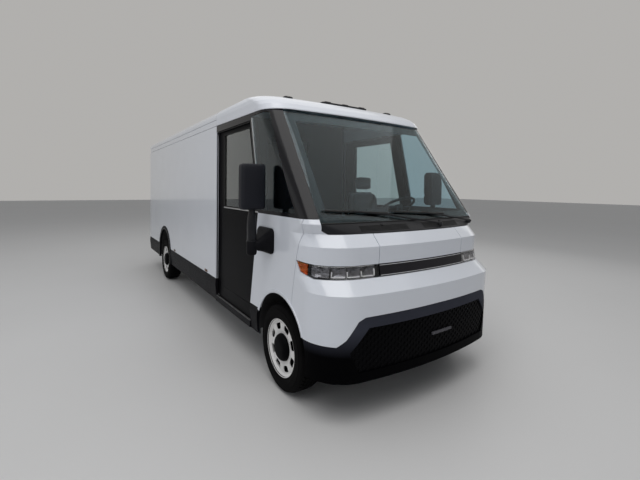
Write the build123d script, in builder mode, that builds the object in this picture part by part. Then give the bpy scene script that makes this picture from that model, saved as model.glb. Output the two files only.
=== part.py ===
from build123d import *
from math import cos, radians, sin, sqrt
import os

# Electric walk-in cargo van.
# Millimetres. +X points forward, +Y to the van's left, +Z up. The origin is on the ground, midway along
# and across the van. A reach is a distance ahead of the front axle, and a height is above the ground.

os.makedirs("parts", exist_ok=True)

# ---------------------------------------------------------------- driving dimensions
WHEELBASE = 4660
FRONT_OVERHANG = 845
BODY_REAR_OVERHANG = 1550
REAR_STEP_DEPTH = 120
BODY_WIDTH = 2120
ROOF_TOP_Z = 2740
WHEEL_INSET = 130          # from the body side in to the middle of each wheel
TYRE_RADIUS = 376
TYRE_WIDTH = 235

LENGTH = FRONT_OVERHANG + WHEELBASE + BODY_REAR_OVERHANG + REAR_STEP_DEPTH
FRONT_AXLE_X = LENGTH / 2 - FRONT_OVERHANG
REAR_AXLE_X = FRONT_AXLE_X - WHEELBASE
BODY_REAR_X = REAR_AXLE_X - BODY_REAR_OVERHANG
HALF_WIDTH = BODY_WIDTH / 2
HALF_TRACK = HALF_WIDTH - WHEEL_INSET

# ---------------------------------------------------------------- walls and gaps
WALL = 30            # thickness of the outer body panels
LINER = 20           # thickness of the inner structure behind them
GLASS = 9
GLASS_INSET = 4      # glass lies this far inside the outer surface
SEAM = 5             # open shut line between two panels
SEAT_GAP = 0.3       # gap of a panel to what it is mounted on
RUN_GAP = 8          # gap beside a moving panel
INNER_Y = HALF_WIDTH - WALL            # inner face of the body side
LINER_Y = INNER_Y - SEAT_GAP - LINER   # inner face of the structure behind it

# ---------------------------------------------------------------- heights of the body's lines
BUMPER_FOOT_Z = 325
SKIRT_FOOT_Z = 365
BAND_Z = 822           # top of the black bumper at the front
FASCIA_TIP_Z = 602     # lowest part of the white fascia, at the corners
SKIRT_TOP_Z = 638
CHAMFER_Z = 985
LAMP_LOW_Z = 1091
LAMP_HIGH_Z = 1180
LAMP_TIP_Z = 1203
HOOD_CREASE_Z = 1325
COWL_Z = 1420
SCREEN_FOOT_Z = 1498
BELT_Z = 1538
OPENING_TOP_Z = 2452
PANEL_TOP_Z = 2533
CAP_FRONT_Z = 2502     # lower edge of the roof cap over the windscreen
RAIL_TOP_Z = 2608
ROOF_BEND_Z = 2630     # where the side starts to round into the roof
FENDER_FOOT_Z = SKIRT_TOP_Z - 20
DOOR_TOP_Z = OPENING_TOP_Z + 28
FLOOR_Z = 760
FLOOR_THICKNESS = 60
STEP_Z = 430

# ---------------------------------------------------------------- reaches of the body's lines
DOORWAY_REAR = -1660
DOORWAY_TOP_FRONT = -640
DOORWAY_BELT_FRONT = -435
DOORWAY_FOOT_FRONT = -600
LAMP_TIP_REACH = 297
PILLAR_FOOT_REACH = 387    # the fender seam meets the belt here
FENDER_SEAM_FOOT = (235, 880)

# How far the middle of the nose stands behind the front end, at each height
BUMPER_FOOT_SETBACK = 25
BAND_SETBACK = 9
LAMP_LOW_SETBACK = 109
LAMP_HIGH_SETBACK = 126
HOOD_CREASE_SETBACK = 118
COWL_SETBACK = 205
SCREEN_FOOT_SETBACK = 300
SCREEN_TOP_SETBACK = 1004

NOSE_ARC = 4700            # plan radius of the nose
SCREEN_ARC = 10000         # plan radius of the windscreen
BUMPER_CORNER = 360
HOOD_CORNER = 400
SCREEN_FOOT_CORNER = 150
SCREEN_TOP_CORNER = 250
TRIM_ALLOWANCE = 25        # the lofts run this far past the cab's ends, and are cut back

# Height, setback of the middle, plan radius and corner radius of each crease of the cab
CAB_SECTIONS = [
    (BUMPER_FOOT_Z - TRIM_ALLOWANCE, BUMPER_FOOT_SETBACK, NOSE_ARC, BUMPER_CORNER),
    (BUMPER_FOOT_Z + TRIM_ALLOWANCE, BUMPER_FOOT_SETBACK, NOSE_ARC, BUMPER_CORNER),
    (BAND_Z, BAND_SETBACK, NOSE_ARC, BUMPER_CORNER),
    (CHAMFER_Z, 0, NOSE_ARC, BUMPER_CORNER),
    (LAMP_LOW_Z, LAMP_LOW_SETBACK, NOSE_ARC, HOOD_CORNER),
    (LAMP_HIGH_Z, LAMP_HIGH_SETBACK, NOSE_ARC, HOOD_CORNER),
    (HOOD_CREASE_Z, HOOD_CREASE_SETBACK, NOSE_ARC, HOOD_CORNER),
    (COWL_Z, COWL_SETBACK, NOSE_ARC, HOOD_CORNER),
    (SCREEN_FOOT_Z, SCREEN_FOOT_SETBACK, SCREEN_ARC, SCREEN_FOOT_CORNER),
    (PANEL_TOP_Z, SCREEN_TOP_SETBACK + 22, SCREEN_ARC, SCREEN_TOP_CORNER),
]

# ---------------------------------------------------------------- other sizes
HOOD_HALF = 528
HOOD_CLEARANCE = 6
BUFFER_SIZE = 40
COWL_HALF = HALF_WIDTH - 115
SCREEN_FOOT_HALF = HALF_WIDTH - 105
SCREEN_TOP_HALF = HALF_WIDTH - 145
FRAME_BORDER = 30          # black border below the glass
DOOR_POST = 45             # width of the black post ahead of the doorway
QUARTER_TOP_REACH = -290
QUARTER_TOP_Z = 2492
SHELL_SETBACK = 40         # the inner structure stands back from the doorway's edge
TURN_LAMP_REACH = 430
MESH_INSET = 10
MESH_DEPTH = 6             # raised studs stand this far off the mesh's backing
MESH_PITCH_Y = 66
MESH_PITCH_Z = 52
MESH_COLUMNS = 27
MESH_ROWS = 8
MESH_CELL = 17
MESH_TURN = 20
MESH_MIDDLE_Z = 567
WIPER_STANDOFF = 22
WIPER_ARM_WIDTH = 16
WIPER_PIVOT = 24
BLADE_WIDTH = 20
# Front outlines of each blade and of its arm, which ends at its pivot
WIPERS = [([(-914, 1597), (-233, 1561)], [(-600, 1580), (-244, 1544), (333, 1451)]),
          ([(-191, 1574), (521, 1539)], [(190, 1555), (500, 1515), (862, 1458)])]
SERVICE_HALF = 480         # opening behind the hood
SERVICE_FOOT_Z = 1205
SERVICE_TOP_Z = COWL_Z - 4
GUTTER_HALF = HOOD_HALF + 14   # room for the hood's rear corners as they swing under the hinge line
GUTTER_FOOT_Z = COWL_Z - 70
ARCH_RADIUS = 446
ARCH_RISE = 54             # the front arch's centre above the wheel's
REAR_ARCH_RADIUS = 455
REAR_ARCH_RISE = 123
ARCH_TRIM = 61
ARCH_TRIM_PROUD = 8
HOUSING_WALL = 8
FRONT_HOUSING_INNER_Y = HALF_TRACK - 350
REAR_HOUSING_INNER_Y = HALF_TRACK - 160

DOOR_THICKNESS = 40
DOOR_LAP = 25              # the door laps behind the edges of its opening
DOOR_TRAVEL = 900
DOOR_FOOT_Z = STEP_Z + 15
DOOR_OUTER_Y = INNER_Y - RUN_GAP
DOOR_INNER_Y = DOOR_OUTER_Y - DOOR_THICKNESS
DOOR_GLASS_FOOT_Z = 1550
DOOR_GLASS_TOP_Z = 2400
DOOR_STILE = 200
DOOR_BORDER = 75
TRACK_Z = OPENING_TOP_Z + 44
TRACK_HEIGHT = 22
HANGER_LENGTH = 80

WING = 25
BULKHEAD_REACH = -1745
BULKHEAD = 25
POCKET_REACH = DOORWAY_REAR - DOOR_LAP - DOOR_TRAVEL - 60

CAP_RISE_Z = CAP_FRONT_Z - TRIM_ALLOWANCE
CAP_FRONT_REACH = -136
CAP_ARC = 9000             # plan radius of the brow
CAP_STEPS = 8
CAP_DEPTH = 700            # the brow's length back to the flat roof
CAP_LIP_PROUD = 8
ROOF_ROUNDING = 110

RAIL_Y = 400
RAIL_WIDTH = 80
RAIL_HEIGHT = 110
BATTERY_LENGTH = 3200
BATTERY_REACH = -3950
BATTERY_HEIGHT = 290

KINGPIN_Y = HALF_TRACK - 100
BALL_RISE = 150             # ball joints above and below the wheel's centre
SPINDLE_RADIUS = 35
RIM_RADIUS = 244
RIM_BARREL = 228
RIM_WALL = 8
HAND_HOLES = 8

STEERING_TILT = 30         # of the steering wheel's axis from upright
STEERING_REACH = -100
STEERING_Y = 480
STEERING_Z = 1585
STEERING_RADIUS = 200

MIRROR_REACH = -200
MIRROR_Y = HALF_WIDTH + 165
MIRROR_FOOT_Z = 1583
MIRROR_TOP_Z = 1988
MIRROR_WIDTH = 230
MIRROR_DEPTH = 110
MIRROR_ARM = 80
MIRROR_SPLIT_Z = 1300

MARKERS = [(0, -470), (240, -470), (-240, -470), (700, -520), (-700, -520)]
MARKER_LENGTH = 70
MARKER_WIDTH = 100
MARKER_DROP = 20
REAR_POST = 60
RAIL_FRONT_REACH = -600
RAIL_FOOT_Z = 2490
RAIL_DROP = 20
TRACK_DEPTH = 26
SKIRT_PROUD = 6
SKIRT_RIDGE_Z = 560
SKIRT_TUCK = 14
STEP_INNER_Y = HALF_WIDTH - 276
BATTERY_HALF = STEP_INNER_Y - 4
STEP_THICKNESS = 30
STEP_WALL = 6
STEP_END_GAP = 6
HOUSING_FOOT_Z = 400
HOUSING_SIDE_FOOT_Z = 600
REAR_FRAME_FOOT_Z = 560
REAR_OPENING_HALF = HALF_WIDTH - 180
REAR_OPENING_TOP_Z = 2480
TAIL_LAMP_DEPTH = 30
TAIL_LAMP_PROUD = 12
TAIL_LAMP_Y = HALF_WIDTH - 105
TAIL_LAMP_WIDTH = 90
TAIL_LAMP_Z = 950
TAIL_LAMP_HEIGHT = 420
REAR_DOOR_INSET = 15
REAR_DOOR_THICKNESS = 32
REAR_DOOR_SLATS = 10
SLAT_GROOVE = 12
HANDLE_DEPTH = 10
HANDLE_WIDTH = 300
HANDLE_HEIGHT = 60
REAR_STEP_Z = 560
REAR_STEP_HEIGHT = 140
REAR_STEP_HALF = HALF_WIDTH - 60
REAR_BRACKET = 160
PLATE_SPACING = 180
PLATE_HOLE_RADIUS = 3.5
PLATE_HOLE_DEPTH = 20
PLATE_WIDTH = 340
PLATE_HEIGHT = 134
PLATE_RECESS = 8           # the plate sits this deep in the step's rear face
FLOOR_FRONT = 620
FLOOR_FRONT_REAR = -530
POCKET_Y = DOOR_INNER_Y - 12
AISLE_HALF = 320
AISLE_TOP_Z = 2450
CROSS_MEMBER = 60
CROSS_MEMBERS = (480, -640, -2800, -4000, -5400, -6100)
OUTRIGGERS = CROSS_MEMBERS[2:]
BATTERY_CHAMFER = 40
SUBFRAME_HALF = 170
SUBFRAME_Y = 420
SUBFRAME_POST = 50          # square posts from the subframe up to the rails
SUBFRAME_HEIGHT = 50
ARM_TIP = 38
ARM_THICKNESS = 20
ARM_WINDOW = 130
SHAFT_SETBACK = 75
SHAFT_RADIUS = 18
MOTOR_HALF = 150
MOTOR_Y = 230
MOTOR_TOP_Z = 520
REAR_BEAM_HALF = 800
REAR_BEAM_RADIUS = 45
SPINDLE_REACH = 60
SPRING_WIDTH = 60
SPRING_HALF = 620
SPRING_EYE = 60
SPRING_THICKNESS = 28
SPRING_PAD = 70
HUB_DEPTH = 60
COLUMN_RADIUS = 35
COLUMN_LENGTH = 300
DASH_PROFILE = [(600, 1490), (330, 1490), (150, 1460), (70, 1390), (90, 1250), (230, 1120), (600, 1120)]
DASH_HALF = LINER_Y - 25
RIM_GRIP = 15
HUB_RADIUS = 60
SPOKE_ANGLES = (0, 180, 270)
SPOKE_WIDTH = 45
SEAT_REACH = -680           # rear edge of the driver's cushion
CUSHION_Z = 1110
CUSHION = 150
CUSHION_LENGTH = 500
CUSHION_HALF = 240
PEDESTAL_HALF = 150
PEDESTAL_REACH = (60, 350)  # ahead of the cushion's rear edge
BACKREST_HALF = 230
# Side outline of the backrest: ahead of the cushion's rear edge, and above the cushion
BACKREST = [(0, 0), (110, 0), (60, 640), (40, 820), (-40, 820), (-60, 640)]
JUMP_SEAT = 90              # depth of the folded seat on the bulkhead
JUMP_SEAT_Y = -STEERING_Y - 25
JUMP_SEAT_HALF = 175
JUMP_SEAT_RISE = (440, 1300)
HANGER_REACHES = (-1500, -850)
DOOR_GLASS_INSET = 6
BRACKET_OUTLINE = [(-212, 1215), (-150, 1180), (80, 1190), (117, 1250), (117, 1360), (60, 1417), (-150, 1405),
                   (-212, 1350)]
BRACKET_DEPTH = 22
MIRROR_BOSS = 45
MIRROR_BOSS_Z = 1241
BEAD_STEP = 6
BEAD_HALF = 92
TREAD_HALF = 94
TYRE_BULGE = 55             # the widest place of the tyre's side, out from the bead
SHOULDER_INSET = 6
SHOULDER_DROP = 32
FLANGE_HALF = 104
HUB_INNER = 40
DISC_FACE = 62
DISC_BULGE = 26
DISC_EDGE = 50
DISC_LIP = 16
DISC_WALL = 9
WHEEL_HUB_RADIUS = 60
HAND_HOLE_RADIUS = 176      # from the wheel's centre to the middle of each hand hole
HAND_HOLE_DEPTH = 34
HAND_HOLE_WIDTH = 56
CAP_RADIUS = 108
CAP_HEIGHT = 36
KNUCKLE_RADIUS = 28
KNUCKLE_BOSS = 55
SHAFT_CLEARANCE = 0.1       # between the kingpin and its bore
ARM_LOW_Z = TYRE_RADIUS - BALL_RISE
ARM_HIGH_Z = TYRE_RADIUS + BALL_RISE


def at(reach):
    """X of a reach ahead of the front axle."""
    return FRONT_AXLE_X + reach


def write(piece, name):
    """Label one sub-part and write its STEP file."""
    piece.label = name
    export_step(piece, f"parts/{name}.step")


def plan_outline(front_x, half_width, arc_radius, corner_radius, rear_x):
    """Plan outline of the cab at one height: a crowned front with rounded corners."""
    crown = half_width**2 / (2 * arc_radius)
    with BuildSketch() as outline:
        with BuildLine():
            left = Line((rear_x, half_width), (front_x - crown, half_width))
            nose = ThreePointArc(left @ 1, (front_x, 0), (front_x - crown, -half_width))
            right = Line(nose @ 1, (rear_x, -half_width))
            Line(right @ 1, left @ 0)
        make_face()
        fillet(outline.vertices().group_by(Axis.X)[-1], corner_radius)
    return outline.sketch


def cab_envelope(inset):
    """Solid filling the cab up to an inset from its outer surface, open-ended for trimming."""
    rear_x = at(DOORWAY_REAR) - (TRIM_ALLOWANCE if inset else 0)
    with BuildPart() as envelope:
        for height, setback, arc_radius, corner_radius in CAB_SECTIONS:
            with BuildSketch(Plane.XY.offset(height)):
                add(plan_outline(at(FRONT_OVERHANG - setback) - inset, HALF_WIDTH - inset,
                                 arc_radius - inset, corner_radius - inset, rear_x))
        loft(ruled=True)
    return envelope.part


def cab_skin(outer_inset, inner_inset):
    """Wall of the cab between two insets, with the front wheel arches cut."""
    with BuildPart() as skin:
        add(cab_envelope(outer_inset))
        add(cab_envelope(inner_inset), mode=Mode.SUBTRACT)
        arch = ARCH_RADIUS if outer_inset < WALL else ARCH_RADIUS + HOUSING_WALL + SEAT_GAP
        with BuildSketch(Plane.XZ):
            with Locations((FRONT_AXLE_X, TYRE_RADIUS + ARCH_RISE)):
                Circle(arch)
        extrude(amount=BODY_WIDTH, both=True, mode=Mode.SUBTRACT)
    return skin.part


def side_block(points, gap=SEAM / 2):
    """Block across the whole width with a side outline of (reach, height) points, a gap smaller."""
    with BuildPart() as block:
        with BuildSketch(Plane.XZ):
            with BuildLine():
                Polyline(*[(at(reach), height) for reach, height in points], close=True)
            make_face()
            if gap:
                offset(amount=-gap, kind=Kind.INTERSECTION)
        extrude(amount=BODY_WIDTH, both=True)
    return block.part


def front_block(points, gap=SEAM / 2):
    """Block along the whole length with a front outline of (y, height) points, a gap smaller."""
    with BuildPart() as block:
        with BuildSketch(Plane.YZ):
            with BuildLine():
                Polyline(*points, close=True)
            make_face()
            if gap:
                offset(amount=-gap, kind=Kind.INTERSECTION)
        extrude(amount=LENGTH, both=True)
    return block.part


def mirrored(points):
    """A half outline given from the right-hand side to the middle, closed by its mirror image."""
    return list(points) + [(-y, height) for y, height in reversed(points) if y]


def box_between(x_range, y_range, z_range, mode=Mode.ADD):
    """Box with its faces at the given X, Y and Z ranges."""
    spans = [sorted(span) for span in (x_range, y_range, z_range)]
    centre = [(low + high) / 2 for low, high in spans]
    with Locations(tuple(centre)):
        Box(*[high - low for low, high in spans], mode=mode)

# ---------------------------------------------------------------- roof
def cap_envelope(inset):
    """Solid filling the cab's roof cap: a rounded brow that rises to the flat roof."""
    rise = ROOF_TOP_Z - CAP_RISE_Z - inset
    depth = CAP_DEPTH - inset
    rounding = ROOF_ROUNDING - inset
    rear_x = at(DOORWAY_REAR) - (TRIM_ALLOWANCE if inset > 0 else 0)
    with BuildPart() as envelope:
        for step in range(CAP_STEPS + 1):
            angle = radians(90) * step / CAP_STEPS
            height = CAP_RISE_Z + rise * sin(angle)
            climb = max(0, height - ROOF_BEND_Z) / rounding
            half_width = HALF_WIDTH - inset - rounding * (1 - sqrt(max(0, 1 - climb**2)))
            with BuildSketch(Plane.XY.offset(height)):
                add(plan_outline(at(CAP_FRONT_REACH) - inset - depth * (1 - cos(angle)), half_width,
                                 CAP_ARC, SCREEN_TOP_CORNER + CAP_LIP_PROUD - inset, rear_x))
        loft(ruled=True)
    return envelope.part


def roof_section(inset, foot_z):
    """Cross-section of the van down to a height, an inset inside its outer surface."""
    half_width = HALF_WIDTH - inset
    top_z = ROOF_TOP_Z - inset
    with BuildSketch() as section:
        with BuildLine():
            Polyline((-half_width, top_z), (half_width, top_z), (half_width, foot_z),
                     (-half_width, foot_z), close=True)
        make_face()
        fillet(section.vertices().group_by(Axis.Y)[-1], ROOF_ROUNDING - inset)
    return section.sketch


def section_block(inset, foot_z, x_range):
    """The van's cross-section run along a range of X."""
    with BuildPart() as block:
        with BuildSketch(Plane.YZ.offset(min(x_range))):
            add(roof_section(inset, foot_z))
        extrude(amount=max(x_range) - min(x_range))
    return block.part


SIDES = {"left": 1, "right": -1}
FAR = BODY_WIDTH           # a half width that reaches past everything
AHEAD = FRONT_OVERHANG + 100

# ---------------------------------------------------------------- outlines shared by the panels
# Side outlines are (reach, height) points, and front outlines are (y, height) points.
band_line = mirrored([(-FAR, FASCIA_TIP_Z), (125 - HALF_WIDTH, FASCIA_TIP_Z),
                      (185 - HALF_WIDTH, FASCIA_TIP_Z + 55), (270 - HALF_WIDTH, BAND_Z - 30),
                      (325 - HALF_WIDTH, BAND_Z - 5), (0, BAND_Z)])
above_band = band_line + [(FAR, COWL_Z), (-FAR, COWL_Z)]
below_band = band_line + [(FAR, 0), (-FAR, 0)]
mesh_window = mirrored([(280 - HALF_WIDTH, BUMPER_FOOT_Z + 75), (210 - HALF_WIDTH, BUMPER_FOOT_Z + 235),
                        (360 - HALF_WIDTH, BAND_Z - 87)])
hood_rectangle = [(-HOOD_HALF, 0), (-HOOD_HALF, COWL_Z), (HOOD_HALF, COWL_Z), (HOOD_HALF, 0)]
cowl_outline = mirrored([(-SCREEN_FOOT_HALF, SCREEN_FOOT_Z), (-COWL_HALF, COWL_Z + 28),
                         (-COWL_HALF + 45, COWL_Z)])
screen_outline = mirrored([(-SCREEN_FOOT_HALF, SCREEN_FOOT_Z), (-SCREEN_TOP_HALF, PANEL_TOP_Z)])

lamp_edge_low = [(AHEAD, LAMP_LOW_Z), (480, LAMP_LOW_Z - 8), (350, LAMP_LOW_Z + 28),
                 (LAMP_TIP_REACH, LAMP_TIP_Z)]
lamp_edge_high = [(LAMP_TIP_REACH, LAMP_TIP_Z), (480, LAMP_HIGH_Z + 6), (AHEAD, LAMP_HIGH_Z)]
lamp_outline = lamp_edge_low + lamp_edge_high[1:]
amber_outline = [(TURN_LAMP_REACH, LAMP_LOW_Z - 50), (TURN_LAMP_REACH, LAMP_TIP_Z + 50),
                 (0, LAMP_TIP_Z + 50), (0, LAMP_LOW_Z - 50)]
fascia_outline = lamp_edge_low + [FENDER_SEAM_FOOT, (FENDER_SEAM_FOOT[0], 500), (AHEAD, 500)]
bumper_outline = [(FENDER_SEAM_FOOT[0], BUMPER_FOOT_Z), (AHEAD, BUMPER_FOOT_Z),
                  (AHEAD, COWL_Z), (FENDER_SEAM_FOOT[0], COWL_Z)]
corner_outline = lamp_edge_high[::-1] + [(PILLAR_FOOT_REACH, BELT_Z), (AHEAD, BELT_Z)]
fender_outline = [(DOORWAY_BELT_FRONT, BELT_Z), (PILLAR_FOOT_REACH, BELT_Z),
                  (LAMP_TIP_REACH, LAMP_TIP_Z), FENDER_SEAM_FOOT, (FENDER_SEAM_FOOT[0], 500),
                  (-ARCH_RADIUS / 2, FENDER_FOOT_Z), (DOORWAY_FOOT_FRONT, FENDER_FOOT_Z)]
screen_side = [(DOORWAY_REAR, PANEL_TOP_Z), (AHEAD, CAP_FRONT_Z), (AHEAD, SCREEN_FOOT_Z),
               (DOORWAY_REAR, SCREEN_FOOT_Z)]
frame_outline = [(DOORWAY_REAR, OPENING_TOP_Z), (DOORWAY_REAR, PANEL_TOP_Z), (AHEAD, CAP_FRONT_Z),
                 (AHEAD, BELT_Z), (DOORWAY_BELT_FRONT, BELT_Z), (DOORWAY_TOP_FRONT, OPENING_TOP_Z)]
quarter_outline = [(DOORWAY_BELT_FRONT + DOOR_POST, BELT_Z + FRAME_BORDER),
                   (PILLAR_FOOT_REACH - 110, BELT_Z + FRAME_BORDER),
                   (QUARTER_TOP_REACH, QUARTER_TOP_Z),
                   (DOORWAY_TOP_FRONT - 10 + DOOR_POST, QUARTER_TOP_Z)]
shell_outline = [(DOORWAY_BELT_FRONT + SHELL_SETBACK, BELT_Z + FRAME_BORDER - 3),
                 (PILLAR_FOOT_REACH, BELT_Z + FRAME_BORDER - 3),
                 (PILLAR_FOOT_REACH + 60, SCREEN_FOOT_Z + 22), (AHEAD, SCREEN_FOOT_Z + 22),
                 (AHEAD, BUMPER_FOOT_Z + 20), (DOORWAY_FOOT_FRONT + SHELL_SETBACK, BUMPER_FOOT_Z + 20),
                 (DOORWAY_FOOT_FRONT + SHELL_SETBACK, FASCIA_TIP_Z),
                 (DOORWAY_BELT_FRONT + SHELL_SETBACK, BELT_Z)]
door_outline = [(DOORWAY_REAR - DOOR_LAP, DOOR_FOOT_Z), (DOORWAY_REAR - DOOR_LAP, DOOR_TOP_Z),
                (DOORWAY_TOP_FRONT + DOOR_LAP, DOOR_TOP_Z), (DOORWAY_BELT_FRONT + DOOR_LAP, BELT_Z),
                (DOORWAY_FOOT_FRONT + DOOR_LAP, FASCIA_TIP_Z), (DOORWAY_FOOT_FRONT + DOOR_LAP, DOOR_FOOT_Z)]
door_window = [(DOORWAY_REAR + DOOR_STILE, DOOR_GLASS_FOOT_Z), (DOORWAY_REAR + DOOR_STILE, DOOR_GLASS_TOP_Z),
               (DOORWAY_TOP_FRONT - DOOR_BORDER, DOOR_GLASS_TOP_Z),
               (DOORWAY_BELT_FRONT - DOOR_BORDER, DOOR_GLASS_FOOT_Z)]

below_cap = [(DOORWAY_REAR - FAR, PANEL_TOP_Z), (DOORWAY_REAR, PANEL_TOP_Z), (AHEAD, CAP_FRONT_Z), (AHEAD, 0),
             (DOORWAY_REAR - FAR, 0)]
service_opening = mirrored([(-SERVICE_HALF, SERVICE_FOOT_Z), (-SERVICE_HALF, GUTTER_FOOT_Z),
                            (-GUTTER_HALF, GUTTER_FOOT_Z), (-GUTTER_HALF, SERVICE_TOP_Z)])

skin = cab_skin(0, WALL)

# ---------------------------------------------------------------- cab outside
with BuildPart() as fascia:
    add(skin)
    add(side_block(fascia_outline), mode=Mode.INTERSECT)
    add(front_block(above_band), mode=Mode.INTERSECT)

with BuildPart() as corners:
    add(skin)
    add(side_block(corner_outline), mode=Mode.INTERSECT)
    for opening in (hood_rectangle, cowl_outline, screen_outline):
        add(front_block(opening, -SEAM / 2), mode=Mode.SUBTRACT)

with BuildPart() as fenders:
    add(skin)
    add(side_block(fender_outline), mode=Mode.INTERSECT)

with BuildPart() as front_panels:
    for panel in (fascia, corners, fenders):
        add(panel.part)
write(front_panels.part, "front_panels")

with BuildPart() as front_bumper:
    add(skin)
    add(side_block(bumper_outline, 0), mode=Mode.INTERSECT)
    add(front_block(below_band), mode=Mode.INTERSECT)
    add(front_block(mesh_window, 0), mode=Mode.SUBTRACT)
write(front_bumper.part, "front_bumper")

with BuildPart() as mesh_cells:
    with BuildSketch(Plane.YZ.offset(at(0))):
        for shift in (0, 0.5):
            with Locations((shift * MESH_PITCH_Y, MESH_MIDDLE_Z + shift * MESH_PITCH_Z)):
                with GridLocations(MESH_PITCH_Y, MESH_PITCH_Z, MESH_COLUMNS, MESH_ROWS):
                    RegularPolygon(MESH_CELL, 4, rotation=MESH_TURN)
    extrude(amount=AHEAD)

with BuildPart() as bumper_grille:
    add(cab_envelope(MESH_INSET))
    add(cab_envelope(MESH_INSET + MESH_DEPTH), mode=Mode.SUBTRACT)
    add(side_block(bumper_outline, 0), mode=Mode.INTERSECT)
    add(mesh_cells.part, mode=Mode.INTERSECT)
    add(cab_envelope(MESH_INSET + MESH_DEPTH))
    add(cab_envelope(WALL), mode=Mode.SUBTRACT)
    add(side_block(bumper_outline, 0), mode=Mode.INTERSECT)
    add(front_block(mesh_window, SEAT_GAP), mode=Mode.INTERSECT)
write(bumper_grille.part, "bumper_grille")

with BuildPart() as lamps:
    add(skin)
    add(side_block(lamp_outline), mode=Mode.INTERSECT)
    add(front_block(hood_rectangle, -SEAM / 2), mode=Mode.SUBTRACT)

with BuildPart() as headlamps:
    add(lamps.part)
    add(side_block(amber_outline, -SEAT_GAP), mode=Mode.SUBTRACT)
write(headlamps.part, "headlamps")

with BuildPart() as turn_lamps:
    add(lamps.part)
    add(side_block(amber_outline, 0), mode=Mode.INTERSECT)
write(turn_lamps.part, "turn_lamps")

with BuildPart() as light_bar:
    add(skin)
    add(side_block(lamp_outline), mode=Mode.INTERSECT)
    add(front_block(hood_rectangle), mode=Mode.INTERSECT)
write(light_bar.part, "light_bar")

with BuildPart() as hood:
    add(cab_envelope(0))
    add(cab_envelope(WALL - HOOD_CLEARANCE), mode=Mode.SUBTRACT)
    add(side_block(corner_outline, HOOD_CLEARANCE - SEAM / 2), mode=Mode.INTERSECT)
    add(front_block(hood_rectangle, HOOD_CLEARANCE - SEAM / 2), mode=Mode.INTERSECT)
write(hood.part, "hood")

with BuildPart() as cowl:
    add(skin)
    add(front_block(cowl_outline), mode=Mode.INTERSECT)
write(cowl.part, "cowl")

with BuildPart() as wiper_pattern:
    with BuildSketch(Plane.YZ):
        for blade_line, arm_line in WIPERS:
            with BuildLine():
                Line(*blade_line)
            trace(line_width=BLADE_WIDTH)
            with BuildLine():
                Polyline(*arm_line)
            trace(line_width=WIPER_ARM_WIDTH)
            with Locations(arm_line[-1]):
                Circle(WIPER_PIVOT)
    extrude(amount=LENGTH, both=True)

with BuildPart() as wipers:
    add(cab_envelope(-WIPER_STANDOFF))
    add(cab_envelope(-SEAT_GAP), mode=Mode.SUBTRACT)
    add(wiper_pattern.part, mode=Mode.INTERSECT)
write(wipers.part, "wipers")

with BuildPart() as cab_frame:
    add(skin)
    add(side_block(frame_outline), mode=Mode.INTERSECT)
    add(front_block(screen_outline, 0), mode=Mode.SUBTRACT)
    add(side_block(quarter_outline, 0), mode=Mode.SUBTRACT)
write(cab_frame.part, "cab_frame")

with BuildPart() as pane:
    add(cab_envelope(GLASS_INSET))
    add(cab_envelope(GLASS_INSET + GLASS), mode=Mode.SUBTRACT)

with BuildPart() as windscreen:
    add(pane.part)
    add(side_block(screen_side), mode=Mode.INTERSECT)
    add(front_block(screen_outline, SEAT_GAP), mode=Mode.INTERSECT)

with BuildPart() as quarter_glass:
    add(pane.part)
    add(side_block(quarter_outline, SEAT_GAP), mode=Mode.INTERSECT)

with BuildPart() as cab_glass:
    add(windscreen.part)
    add(quarter_glass.part)
write(cab_glass.part, "cab_glass")

with BuildPart() as hood_buffers:
    for side in SIDES.values():
        box_between((at(0), at(FRONT_OVERHANG)), (side * SERVICE_HALF, side * (SERVICE_HALF + BUFFER_SIZE)),
                    (SERVICE_FOOT_Z, SERVICE_FOOT_Z + BUFFER_SIZE))
    add(cab_envelope(WALL - HOOD_CLEARANCE + SEAT_GAP), mode=Mode.INTERSECT)
    add(cab_envelope(WALL + SEAT_GAP + LINER / 2), mode=Mode.SUBTRACT)

with BuildPart() as cab_shell:
    add(cab_skin(WALL + SEAT_GAP, WALL + SEAT_GAP + LINER))
    add(side_block(shell_outline, 0), mode=Mode.INTERSECT)
    add(front_block(service_opening, 0), mode=Mode.SUBTRACT)
    add(hood_buffers.part)
write(cab_shell.part, "cab_shell")

with BuildPart() as roof_cap:
    add(cap_envelope(0))
    add(cap_envelope(WALL), mode=Mode.SUBTRACT)
    add(side_block(below_cap, -SEAM / 2), mode=Mode.SUBTRACT)
write(roof_cap.part, "roof_cap")

with BuildPart() as marker_lamps:
    for y, reach in MARKERS:
        with BuildSketch(Plane((at(reach), y, ROOF_TOP_Z - ROOF_ROUNDING))):
            RectangleRounded(MARKER_LENGTH, MARKER_WIDTH, MARKER_WIDTH / 4)
        extrude(amount=ROOF_ROUNDING - MARKER_DROP)
    add(cap_envelope(-SEAT_GAP), mode=Mode.SUBTRACT)
write(marker_lamps.part, "marker_lamps")

with BuildPart() as roof_panel:
    add(section_block(0, RAIL_TOP_Z + SEAM / 2, (BODY_REAR_X, at(DOORWAY_REAR) - SEAM)))
    add(section_block(WALL, 0, (BODY_REAR_X, at(DOORWAY_REAR))), mode=Mode.SUBTRACT)
write(roof_panel.part, "roof_panel")

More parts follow.
